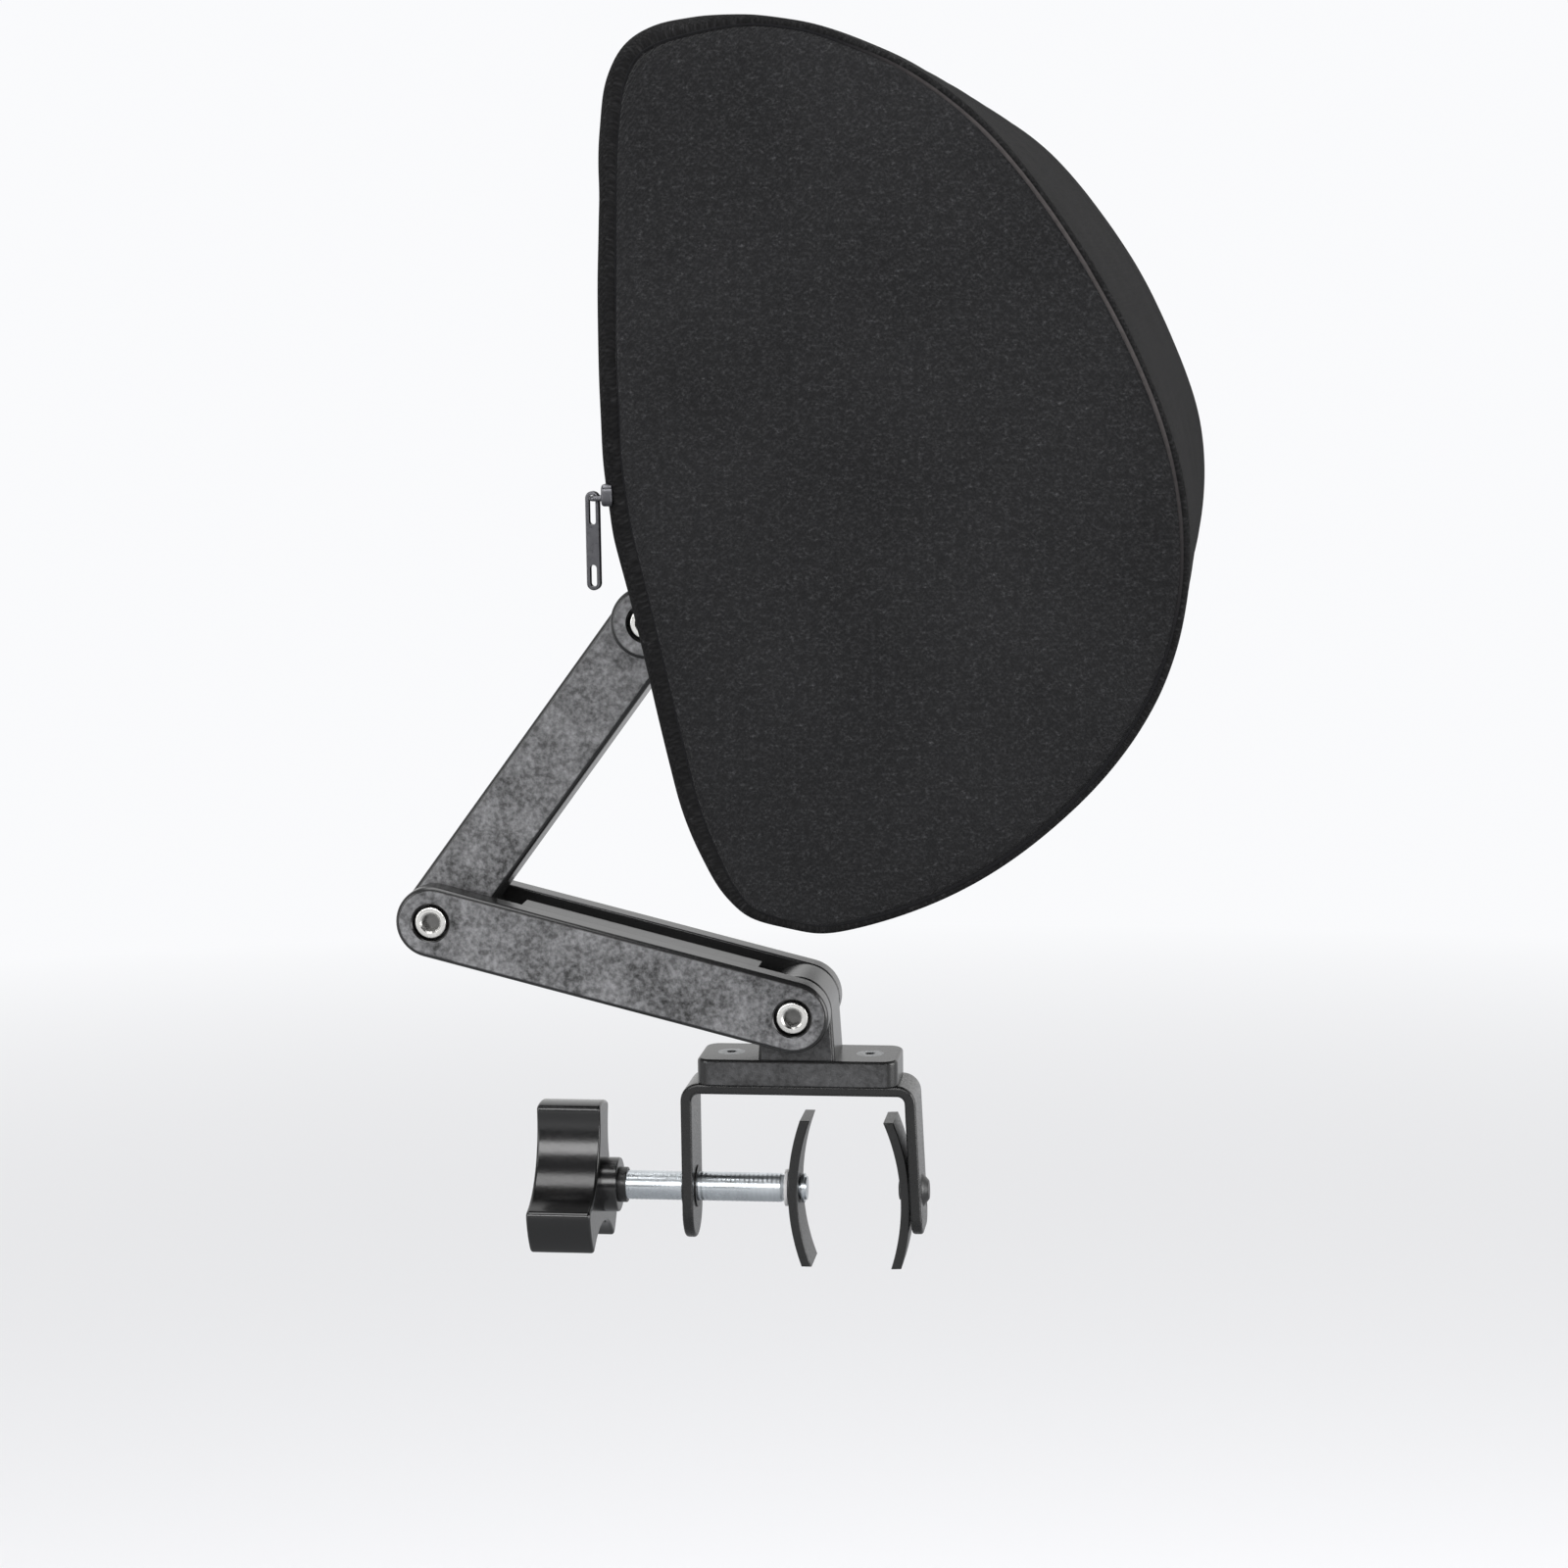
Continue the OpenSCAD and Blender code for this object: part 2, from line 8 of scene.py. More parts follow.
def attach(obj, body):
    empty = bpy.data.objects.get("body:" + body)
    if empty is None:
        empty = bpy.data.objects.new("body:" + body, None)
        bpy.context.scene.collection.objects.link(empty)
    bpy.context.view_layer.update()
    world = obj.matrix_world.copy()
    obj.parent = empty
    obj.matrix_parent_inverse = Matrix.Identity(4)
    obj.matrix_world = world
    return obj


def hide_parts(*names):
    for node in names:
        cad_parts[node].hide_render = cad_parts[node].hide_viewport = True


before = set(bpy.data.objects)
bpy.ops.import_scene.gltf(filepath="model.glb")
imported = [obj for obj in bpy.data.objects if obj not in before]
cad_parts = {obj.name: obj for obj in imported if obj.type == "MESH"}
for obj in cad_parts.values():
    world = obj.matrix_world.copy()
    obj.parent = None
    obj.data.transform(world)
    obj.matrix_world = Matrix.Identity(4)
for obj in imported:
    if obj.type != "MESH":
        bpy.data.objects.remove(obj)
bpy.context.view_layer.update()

MM = 0.001
scene = bpy.context.scene

# ---------------------------------------------------------------- dimensions, in mm, as in the CAD
SHEET, BASE_W, SCREW_Z = 3.0, 22.0, -27.5
ARM_PITCH, ARM_R, BAR_T, PLATE_T, PLATE_Y = 100.0, 9.6, 19.0, 7.5, 10.0
OUTER_Y = PLATE_Y + PLATE_T
PIVOT_Z, LOWER, UPPER = 23.0, math.radians(14.3), math.radians(53.3)
ELBOW = (-ARM_PITCH * math.cos(LOWER), PIVOT_Z + ARM_PITCH * math.sin(LOWER))
HEAD = (ELBOW[0] + ARM_PITCH * math.cos(UPPER), ELBOW[1] + ARM_PITCH * math.sin(UPPER))
SEAT_LOW, SEAT_HIGH = (-4.5, 92.0), (-22.375, 162.0)
LEAN = math.atan2(SEAT_LOW[0] - SEAT_HIGH[0], SEAT_HIGH[1] - SEAT_LOW[1])
HEAD_U = (HEAD[1] - SEAT_LOW[1]) * math.cos(LEAN) - (HEAD[0] - SEAT_LOW[0]) * math.sin(LEAN)
HEAD_N = -(HEAD[0] - SEAT_LOW[0]) * math.cos(LEAN) - (HEAD[1] - SEAT_LOW[1]) * math.sin(LEAN)
PILLOW_HALF = 145.0
CHAIN_Z, SLIDER_Y = 169.4, -140.2
BAIL = (-27.9, 168.6)
BOLT_R, LOOSE_R = 2.5, 2.55  # a bolt's shank, and the bore that turns on it
HEAD_BORE_R, HEAD_DEPTH = 5.0, 5.2  # counterbore for a bolt's head
NUT_AF, NUT_DEPTH = 8.2, 4.4  # hexagonal pocket for a bolt's nut
THROUGH = 15  # cutters that start at the middle reach this far
KNOB_TURN = math.radians(90 - 6)  # lobe 0 points up, turned by the knob's own turn
FLOOR_M = -0.36


# ---------------------------------------------------------------- mesh helpers
def make(name, verts, faces, matrix=None):
    """A mesh object from vertices in mm."""
    mesh = bpy.data.meshes.new(name)
    mesh.from_pydata([Vector(v) * MM for v in verts], [], faces)
    mesh.validate()
    obj = bpy.data.objects.new(name, mesh)
    scene.collection.objects.link(obj)
    if matrix is not None:
        mesh.transform(matrix)
    bm = bmesh.new()
    bm.from_mesh(mesh)
    bmesh.ops.remove_doubles(bm, verts=bm.verts, dist=1e-6)
    bmesh.ops.recalc_face_normals(bm, faces=bm.faces)
    bm.to_mesh(mesh)
    bm.free()
    return obj


def loft(rings, close=True):
    """Vertices and faces of rings of equal length joined in turn, with flat ends."""
    n = len(rings[0])
    verts = [p for ring in rings for p in ring]
    faces = []
    for r in range(len(rings) - 1):
        for i in range(n):
            a, b = r * n + i, r * n + (i + 1) % n
            faces.append((a, b, b + n, a + n))
    if close:
        faces.append(tuple(reversed(range(n))))
        faces.append(tuple(range((len(rings) - 1) * n, len(rings) * n)))
    return verts, faces


def inset(points, d):
    """A closed 2-D outline moved inwards by d. The outline runs anticlockwise."""
    out = []
    n = len(points)
    for i in range(n):
        a, p, b = Vector(points[i - 1]), Vector(points[i]), Vector(points[(i + 1) % n])
        e, f = (p - a).normalized(), (b - p).normalized()
        m = Vector((-e.y - f.y, e.x + f.x)).normalized()
        c = max(0.4, m.dot(Vector((-e.y, e.x))))
        out.append(tuple(p + m * (d / c)))
    return out


def rounding(t0, t1, r0, r1, steps=5):
    """(position, inset) pairs of a plate from t0 to t1 whose two rims have radii r0 and r1."""
    turns = [math.pi / 2 * i / steps for i in range(steps + 1)]
    out = [(t0 + r0 * (1 - math.cos(a)), r0 * (1 - math.sin(a))) for a in turns]
    out += [(t1 - r1 * (1 - math.cos(a)), r1 * (1 - math.sin(a))) for a in reversed(turns)]
    return out


def plate(name, outline, t0, t1, r0, r1, place, steps=5):
    """An outline drawn in (a, b) with rounded rims, laid by place(a, b, t)."""
    rings = [[place(a, b, t) for a, b in inset(outline, d)]
             for t, d in rounding(t0, t1, r0, r1, steps)]
    return make(name, *loft(rings))


def circle(r, n):
    """n points of a circle round the origin."""
    turns = [2 * math.pi * i / n for i in range(n)]
    return [(r * math.cos(a), r * math.sin(a)) for a in turns]


def lathe(name, profile, place, segments=64):
    """A turned piece. The profile is (position, radius) pairs, laid by place(a, b, t)."""
    return make(name, *loft([[place(a, b, t) for a, b in circle(r, segments)] for t, r in profile]))


def arc(cx, cy, r, a0, a1, n):
    """n + 1 points from angle a0 to a1."""
    return [(cx + r * math.cos(a0 + (a1 - a0) * i / n), cy + r * math.sin(a0 + (a1 - a0) * i / n))
            for i in range(n + 1)]


def stadium(length, r, n=28):
    """A strip with round ends, centred on (0, 0) and (length, 0)."""
    return (arc(length, 0, r, -math.pi / 2, math.pi / 2, n)
            + arc(0, 0, r, math.pi / 2, 1.5 * math.pi, n))


def rounded_rect(l, w, r, n=8):
    """A rectangle l by w about the origin, with corners of radius r."""
    out = []
    for k, (sx, sy) in enumerate([(1, -1), (1, 1), (-1, 1), (-1, -1)]):
        a = -math.pi / 2 + k * math.pi / 2
        out += arc(sx * (l / 2 - r), sy * (w / 2 - r), r, a, a + math.pi / 2, n)
    return out


def hexagon(af):
    """A hexagon that measures af across its flats."""
    r = af / 2 / math.cos(math.pi / 6)
    return [(r * math.cos(math.pi / 3 * i), r * math.sin(math.pi / 3 * i)) for i in range(6)]


def bake(obj):
    """Applies obj's modifiers to its mesh."""
    deps = bpy.context.evaluated_depsgraph_get()
    mesh = bpy.data.meshes.new_from_object(obj.evaluated_get(deps))
    obj.modifiers.clear()
    old = obj.data
    obj.data = mesh
    bpy.data.meshes.remove(old)
    return obj


def combine(obj, tools, kind="DIFFERENCE"):
    """Cuts the tools from obj or joins them to it, one by one, and removes them."""
    for tool in tools:
        mod = obj.modifiers.new("b", "BOOLEAN")
        mod.operation, mod.solver, mod.object = kind, "EXACT", tool
        bake(obj)
        bpy.data.objects.remove(tool)
    return obj


def along_y(x, z, turn=0.0, sign=1):
    """Places (a, b, t) with t along +Y or -Y at (x, z), a along the slope `turn`."""
    c, s = math.cos(turn), math.sin(turn)
    return lambda a, b, t: (x + a * c - b * s, sign * t, z + a * s + b * c)


def along_x(y, z, turn=0.0):
    """Places (a, b, t) with t along X at (y, z), a along the slope `turn`."""
    c, s = math.cos(turn), math.sin(turn)
    return lambda a, b, t: (t, y + a * c - b * s, z + a * s + b * c)


def on_back(n, y, u):
    """A point of the pillow's slanted back: n away from it, u up it from the head pivot."""
    c, s = math.cos(LEAN), math.sin(LEAN)
    up = u + HEAD_U
    return (SEAT_LOW[0] - n * c - up * s, y, SEAT_LOW[1] - n * s + up * c)


def shifted(place, da, db=0.0):
    """The same placement with its origin moved by (da, db)."""
    return lambda a, b, t: place(a + da, b + db, t)


def hole(place, r, t0, t1, rim=0.0):
    """A cutter for a round hole, wider by `rim` where it leaves the plate at t1 - 1."""
    profile = [(t0, r), (t1, r)]
    if rim:
        profile = [(t0, r), (t1 - 1 - rim, r), (t1 - 1, r + rim), (t1, r + rim + 1)]
    return lathe("cut", profile, place, 48)


def pocket(place, af, t0, t1):
    """A cutter for a hexagonal pocket."""
    return make("cut", *loft([[place(a, b, t) for a, b in hexagon(af)] for t in (t0, t1)]))


def head_bore(place):
    """A cutter for a bolt's head, from the outer face of a near plate or ear."""
    return hole(place, HEAD_BORE_R, OUTER_Y - HEAD_DEPTH, OUTER_Y + 1, 0.35)


def nut_pocket(place):
    """A cutter for a bolt's nut, from the outer face of a far plate or ear."""
    return pocket(place, NUT_AF, OUTER_Y - NUT_DEPTH, OUTER_Y + 1)


def finish(obj, body, mat, replaces=(), angle=34):
    """Smooth shading, material, body and replaced nodes of one piece."""
    obj.data.materials.clear()
    obj.data.materials.append(mat)
    obj.data.shade_smooth()
    if angle:
        obj.data.set_sharp_from_angle(angle=math.radians(angle))
        mod = obj.modifiers.new("normals", "WEIGHTED_NORMAL")
        mod.keep_sharp = True
    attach(obj, body)
    if replaces:
        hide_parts(*replaces)
    return obj


# ---------------------------------------------------------------- materials
class Finish:
    """A Principled material with helpers for its nodes."""

    def __init__(self, name, **sockets):
        self.material = bpy.data.materials.new(name)
        self.material.use_nodes = True
        self.tree = self.material.node_tree
        self.shader = self.tree.nodes["Principled BSDF"]
        self.height = None
        for key, value in sockets.items():
            self.shader.inputs[key.replace("_", " ")].default_value = value
        self.coords = self.node("ShaderNodeTexCoord").outputs["Object"]

    def node(self, kind, links=None, **values):
        n = self.tree.nodes.new(kind)
        for key, value in values.items():
            if hasattr(n, key):
                setattr(n, key, value)
            else:
                n.inputs[key.replace("_", " ")].default_value = value
        for key, out in (links or {}).items():
            self.tree.links.new(out, n.inputs[key])
        return n

    def link(self, out, socket):
        self.tree.links.new(out, self.shader.inputs[socket])

    def noise(self, scale, detail=2.0, rough=0.5, stretch=None, coords=None):
        """The Fac of a noise texture, on the object's coordinates unless told otherwise."""
        coords = coords or self.coords
        if stretch:
            coords = self.node("ShaderNodeMapping", {"Vector": coords}, Scale=stretch).outputs[0]
        return self.node("ShaderNodeTexNoise", {"Vector": coords}, Scale=scale, Detail=detail,
                         Roughness=rough).outputs["Fac"]

    def ramp(self, fac, stops):
        n = self.node("ShaderNodeValToRGB", {"Fac": fac})
        ramp = n.color_ramp
        while len(ramp.elements) < len(stops):
            ramp.elements.new(0.5)
        for e, (pos, col) in zip(ramp.elements, stops):
            e.position = pos
            e.color = (*col, 1)
        return n.outputs["Color"]

    def span(self, fac, lo, hi, a=0.0, b=1.0):
        """Maps fac from lo..hi to a..b, held at both ends."""
        return self.node("ShaderNodeMapRange", {"Value": fac}, **{"From_Min": lo, "From_Max": hi,
                         "To_Min": a, "To_Max": b}).outputs[0]

    def math(self, op, a, b=None):
        n = self.node("ShaderNodeMath", operation=op)
        for i, v in enumerate((a, b)):
            if v is None:
                continue
            if isinstance(v, (int, float)):
                n.inputs[i].default_value = v
            else:
                self.tree.links.new(v, n.inputs[i])
        return n.outputs[0]

    def bump(self, height, distance):
        """Lays a bump over those added before it."""
        n = self.node("ShaderNodeBump", {"Height": height}, Strength=1.0, Distance=distance)
        if self.height:
            self.tree.links.new(self.height, n.inputs["Normal"])
        self.height = n.outputs["Normal"]
        self.link(self.height, "Normal")
        return self


def grey(v, tint=(1, 1, 1)):
    return tuple(v * t for t in tint)


def powder_coat(name, base, rough, depth, grain=1500):
    """Painted steel, uneven in gloss."""
    f = Finish(name, IOR=1.5)
    wide = f.noise(60, 3)
    fine = f.noise(grain, 3, 0.6)
    f.link(f.ramp(wide, [(0.3, grey(base * 0.8)), (0.7, grey(base * 1.2))]), "Base Color")
    f.link(f.span(fine, 0.3, 0.7, rough - 0.1, rough + 0.1), "Roughness")
    f.bump(fine, depth).bump(f.noise(grain * 3.1, 2), depth * 0.3)
    return f.material


def moulded(name, base, rough, painted_sheen_gain, inner_faces=False):
    """Glass-filled plastic: pebbled where it faces along Y, smooth on its rims.

    The faces between the plates stay smooth too, unless inner_faces is set. The pebbled faces also
    carry a painted sheen: their colour is lightened in flecks and blots for the glints of light
    they catch.
    """
    f = Finish(name, IOR=1.5)
    normal = f.node("ShaderNodeTexCoord").outputs["Normal"]
    side = f.node("ShaderNodeSeparateXYZ", {"Vector": normal})
    place = f.node("ShaderNodeSeparateXYZ", {"Vector": f.coords})
    depth = f.math("ABSOLUTE", place.outputs["Y"])
    inner = f.math("MULTIPLY", f.span(depth, 0.0096, 0.0099),
                   f.span(depth, 0.0150, 0.0160, 1.0, 0.0))
    flat = f.span(f.math("ABSOLUTE", side.outputs["Y"]), 0.93, 0.99)
    if not inner_faces:
        flat = f.math("MULTIPLY", flat, f.math("SUBTRACT", 1.0, inner))
    grain = f.noise(620, 4, 0.66)
    blot = f.noise(95, 4, 0.6)
    speck = f.span(grain, 0.38, 0.66)
    # painted sheen: flat, pebbled faces are lightened in colour by flecks and blots
    tone = f.math("MULTIPLY", flat, f.math("ADD", f.math("MULTIPLY", speck, 0.58),
                                           f.math("MULTIPLY", f.span(blot, 0.36, 0.64), 0.42)))
    f.link(f.ramp(tone, [(0.0, grey(base)), (1.0, grey(base * painted_sheen_gain, (1.0, 1.0, 1.03)))]),
           "Base Color")
    f.link(f.math("SUBTRACT", f.span(flat, 0, 1, 0.27, rough),
                  f.math("MULTIPLY", f.math("MULTIPLY", speck, flat), 0.16)), "Roughness")
    f.bump(f.math("MULTIPLY", grain, f.span(flat, 0, 1, 0.1, 1.0)), 0.00024)
    return f.material


def metal(name, colour, rough, streak=(1, 1, 1), depth=0.00002, scale=900):
    """Bare or plated metal, with painted shade: darker in colour where the mesh's shade attribute,
    set deep in a bolt's socket, is 1.
    """
    f = Finish(name, Metallic=1.0)
    lines = f.noise(scale, 3, 0.6, stretch=streak)
    blot = f.noise(150, 3)
    painted_shade = f.node("ShaderNodeAttribute", attribute_name="painted_shade").outputs["Fac"]
    # painted shade: the colour is darkened where the mesh's shade attribute is 1
    tone = f.math("SUBTRACT", f.span(blot, 0.3, 0.7, 0.85, 1.0), f.math("MULTIPLY", painted_shade, 0.75))
    f.link(f.ramp(tone, [(0.0, (0.0, 0.0, 0.0)), (1.0, colour)]), "Base Color")
    f.link(f.span(lines, 0.3, 0.7, rough * 0.75, rough * 1.3), "Roughness")
    f.bump(lines, depth)
    return f.material


def fabric(name, dark, light, sheen, pitch=1.05, tint=(1.0, 1.0, 1.05)):
    """Fine black knit with a light speckle. UVs are in metres."""
    f = Finish(name, Roughness=0.92, Specular_IOR_Level=0.06, Sheen_Weight=sheen,
               Sheen_Roughness=0.5)
    uv = f.node("ShaderNodeTexCoord").outputs["UV"]
    xyz = f.node("ShaderNodeSeparateXYZ", {"Vector": uv})
    k = 2 * math.pi / (pitch * MM)
    wobble = f.math("MULTIPLY", f.noise(260, 2, 0.5, coords=uv), 2.5)
    u = f.math("ADD", f.math("MULTIPLY", xyz.outputs[0], k), wobble)
    v = f.math("MULTIPLY", xyz.outputs[1], k * 0.8)
    sway = f.math("MULTIPLY", f.math("SINE", f.math("MULTIPLY", u, 0.5)), 1.2)
    ribs = f.math("MULTIPLY", f.math("SINE", u), f.math("SINE", f.math("ADD", v, sway)))
    speck = f.noise(1100, 4, 0.7, stretch=(1.0, 1.4, 1.0), coords=uv)
    tuft = f.noise(420, 2, 0.5, stretch=(1.0, 1.3, 1.0), coords=uv)
    wide = f.noise(22, 3, 0.5, coords=uv)
    flecks = f.math("MULTIPLY", f.span(speck, 0.45, 0.72), f.span(tuft, 0.3, 0.7))
    tone = f.math("ADD", f.math("MULTIPLY", flecks, 0.9), f.math("MULTIPLY", wide, 0.26))
    f.link(f.ramp(tone, [(0.08, grey(dark, tint)), (0.55, grey((dark + light) / 2.6, tint)),
                         (0.95, grey(light, tint))]), "Base Color")
    f.bump(ribs, 0.00009).bump(speck, 0.00016)
    return f.material


def plastic(name, base, rough, spec=0.5):
    """Smooth injection-moulded plastic."""
    f = Finish(name, IOR=1.49, Specular_IOR_Level=spec)
    blot = f.noise(45, 3)
    fine = f.noise(700, 3, 0.6)
    f.link(f.ramp(blot, [(0.3, grey(base * 0.85)), (0.7, grey(base * 1.15))]), "Base Color")
    f.link(f.span(fine, 0.3, 0.7, rough * 0.85, rough * 1.15), "Roughness")
    f.bump(fine, 0.00002)
    return f.material


def plywood():
    """Pale ply with its grain along Y."""
    f = Finish("plywood")
    rings = f.noise(18, 4, 0.6, stretch=(8, 1, 8))
    fine = f.noise(900, 2, 0.6, stretch=(6, 1, 6))
    f.link(f.ramp(rings, [(0.3, (0.42, 0.26, 0.12)), (0.7, (0.62, 0.43, 0.24))]), "Base Color")
    f.link(f.span(fine, 0.3, 0.7, 0.6, 0.75), "Roughness")
    f.bump(fine, 0.00006)
    return f.material


def cord():
    """Welt fabric with a painted highlight: paler towards the front and the top, where light
    catches the seam.
    """
    f = Finish("seam_cord", Specular_IOR_Level=0.1, Roughness=0.8)
    twist = f.noise(900, 2, 0.5)
    painted_highlight = f.node("ShaderNodeAttribute", attribute_name="painted_highlight").outputs["Fac"]
    # painted highlight: paler where the cord's attribute marks the lit front and top
    f.link(f.ramp(f.math("MULTIPLY", painted_highlight, f.span(twist, 0.3, 0.7, 0.75, 1.0)),
                  [(0.0, (0.008, 0.008, 0.009)), (1.0, (0.06, 0.054, 0.054))]), "Base Color")
    f.bump(twist, 0.0001)
    return f.material


M = {
    "steel": powder_coat("black_steel", 0.009, 0.28, 0.00001),
    "dark": powder_coat("dark_steel", 0.010, 0.34, 0.00002, grain=1900),
    "zinc": metal("zinc_steel", (0.66, 0.70, 0.73), 0.28, (0.25, 1, 1), 0.000002, 300),
    "bolt": metal("bolt_steel", (0.84, 0.83, 0.80), 0.27, depth=0.000002, scale=300),
    "washer": metal("washer_steel", (0.55, 0.55, 0.56), 0.38),
    "head": metal("zinc_dark", (0.26, 0.27, 0.28), 0.30),
    "zip": metal("zip_metal", (0.11, 0.11, 0.118), 0.34),
    "arm": moulded("arm_plastic", 0.011, 0.44, 24.0),
    "base": moulded("base_plastic", 0.011, 0.40, 7.5, inner_faces=True),
    "knob": plastic("knob_plastic", 0.004, 0.2, 0.7),
    "ring": plastic("washer_plastic", 0.6, 0.4),
    "thread": plastic("seam_thread", 0.016, 0.7, 0.2),
    "wrap": fabric("wrap_fabric", 0.007, 0.045, 0.0, tint=(1.0, 0.99, 1.02)),
    "panel": fabric("panel_fabric", 0.012, 0.074, 0.06),
    "tape": fabric("zip_tape", 0.006, 0.03, 0.1, pitch=0.7),
    "ply": plywood(),
    "cord": cord(),
}

# CAD nodes that keep their shape: their material, and how far their edges are softened, in mm
KEPT = {
    "clamp_bracket": ("steel", 0.8), "clamp_nut": ("dark", 0.15), "screw_tip_cap": ("zinc", 0.2),
    "knob_insert": ("dark", 0.25), "plate_washer": ("ring", 0.15), "pressure_plate": ("dark", 0.5),
    "jaw_plate": ("dark", 0.5), "jaw_rivet": ("dark", 0.15),
    "base_screws": ("head", 0.08), "base_washers": ("washer", 0.05), "base_nut": ("bolt", 0.25),
    "elbow_washers": ("washer", 0.05), "elbow_nut": ("bolt", 0.25),
    "head_washers": ("washer", 0.05), "head_nut": ("bolt", 0.25),
    "mount_screws": ("head", 0.08), "mounting_board": ("ply", 0.4), "board_tnuts": ("zinc", 0.1),
}
for node_name, (mat, width) in KEPT.items():
    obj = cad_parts[node_name]
    for s in obj.material_slots:
        s.material = M[mat]
    weld = obj.modifiers.new("weld", "WELD")
    weld.merge_threshold = 2e-6
    bevel = obj.modifiers.new("bevel", "BEVEL")
    bevel.width, bevel.segments, bevel.limit_method = width * MM, 3, "ANGLE"
    bevel.angle_limit = math.radians(35)
    bevel.harden_normals = False
    obj.modifiers.new("normals", "WEIGHTED_NORMAL").keep_sharp = True


# ---------------------------------------------------------------- pivot bolts
def bolt(name, x, z, body, node, turn):
    """Socket-cap screw along Y with its head on the near side. t runs towards -Y."""
    end = NUT_DEPTH - OUTER_Y - 4.0
    seat = OUTER_Y - HEAD_DEPTH
    head, top, rim = 4.25, seat + 5.0, 0.45
    profile = [(end, 2.1), (end + 0.5, BOLT_R), (seat, BOLT_R), (seat, 3.9), (seat + 0.25, head)]
    profile += arc(top - rim, head - rim, rim, math.pi / 2, 0, 4)
    profile += [(top, 2.9), (top - 0.35, 2.45)]
    place = along_y(x, z, turn, -1)
    obj = lathe(name, profile, place, 72)
    combine(obj, [pocket(place, 4.0, top - 2.5, top + 2)])
    # painted shade: faces deep in the hex socket are marked to be darkened in colour
    painted_shade = obj.data.attributes.new("painted_shade", "FLOAT", "FACE")
    for p in obj.data.polygons:
        c = p.center / MM
        deep = math.hypot(c.x - x, c.z - z) < 2.4 and top - 3 < -c.y < top - 0.2
        painted_shade.data[p.index].value = 1.0 if deep else 0.0
    return finish(obj, body, M["bolt"], (node,), 30)


bolt("base_bolt_turned", 0, PIVOT_Z, "lower_arm", "base_bolt", 0.3)
bolt("elbow_bolt_turned", *ELBOW, "lower_arm", "elbow_bolt", 0.1)
bolt("head_bolt_turned", *HEAD, "headrest", "head_bolt", 0.7)


# ---------------------------------------------------------------- arms
def arm_plate(name, near):
    """One outer plate of the lower arm. Its outline runs from the base pivot to the elbow."""
    at = along_y(0, PIVOT_Z, math.pi - LOWER, -1 if near else 1)
    obj = plate(name, stadium(ARM_PITCH, ARM_R), PLATE_Y, OUTER_Y, 0.5, 1.5, at, 6)
    cuts = []
    for x in (0, ARM_PITCH):
        here = shifted(at, x)
        cuts += [hole(here, BOLT_R, 5, 25), head_bore(here) if near else nut_pocket(here)]
    return combine(obj, cuts)


for which in ("near", "far"):
    finish(arm_plate("lower_arm_plate_" + which, which == "near"), "lower_arm", M["arm"],
           ("lower_arm_" + which,))


def arm_spacer():
    """The web between the lower arm's plates, with two bosses that keep them apart."""
    at = along_y(0, PIVOT_Z, math.pi - LOWER)
    start, end, half, boss_half = 13, 79, 8.4, PLATE_Y - 0.05
    web = plate("lower_arm_spacer", [(start, -half), (end, -half), (end, half), (start, half)],
                -6, 3.5, 1.1, 1.1, at)
    bosses = [lathe("boss", [(-boss_half, 6), (boss_half, 6)], shifted(at, x), 40)
              for x in (start + 10, end - 10)]
    return combine(web, bosses, "UNION")


def upper_arm():
    at = along_y(*ELBOW, UPPER)
    bar = plate("upper_arm_bar", stadium(ARM_PITCH, ARM_R), -BAR_T / 2, BAR_T / 2, 1.5, 1.5, at, 6)
    return combine(bar, [hole(shifted(at, x), LOOSE_R, -THROUGH, THROUGH) for x in (0, ARM_PITCH)])


finish(arm_spacer(), "lower_arm", M["arm"], ("arm_spacer",))
finish(upper_arm(), "upper_arm", M["arm"], ("upper_arm",))


# ---------------------------------------------------------------- pivot base
def pivot_base():
    """The foot on the bracket with its lug, and two countersunk holes for the screws."""
    up = lambda a, b, t: (a, b, t)
    foot_half, screw_x = 10.6, 18.8
    foot = plate("pivot_base_moulding", rounded_rect(54, BASE_W, 4), SHEET, SHEET + 7, 0.3, 0.9, up)
    outline = [(-foot_half, 6), (foot_half, 6)] + arc(0, PIVOT_Z, ARM_R, 0, math.pi, 40)
    lug = plate("lug", outline, -BAR_T / 2, BAR_T / 2, 1.2, 1.2, along_y(0, 0))
    combine(foot, [lug], "UNION")
    countersink = [(0, 2.15), (8.3, 2.15), (10, 3.7), (10.3, 3.95), (12, 3.95)]
    cuts = [hole(along_y(0, PIVOT_Z), LOOSE_R, -THROUGH, THROUGH)]
    cuts += [lathe("cut", countersink, shifted(up, x), 40) for x in (-screw_x, screw_x)]
    return combine(foot, cuts)


finish(pivot_base(), "clamp", M["base"], ("pivot_base",))


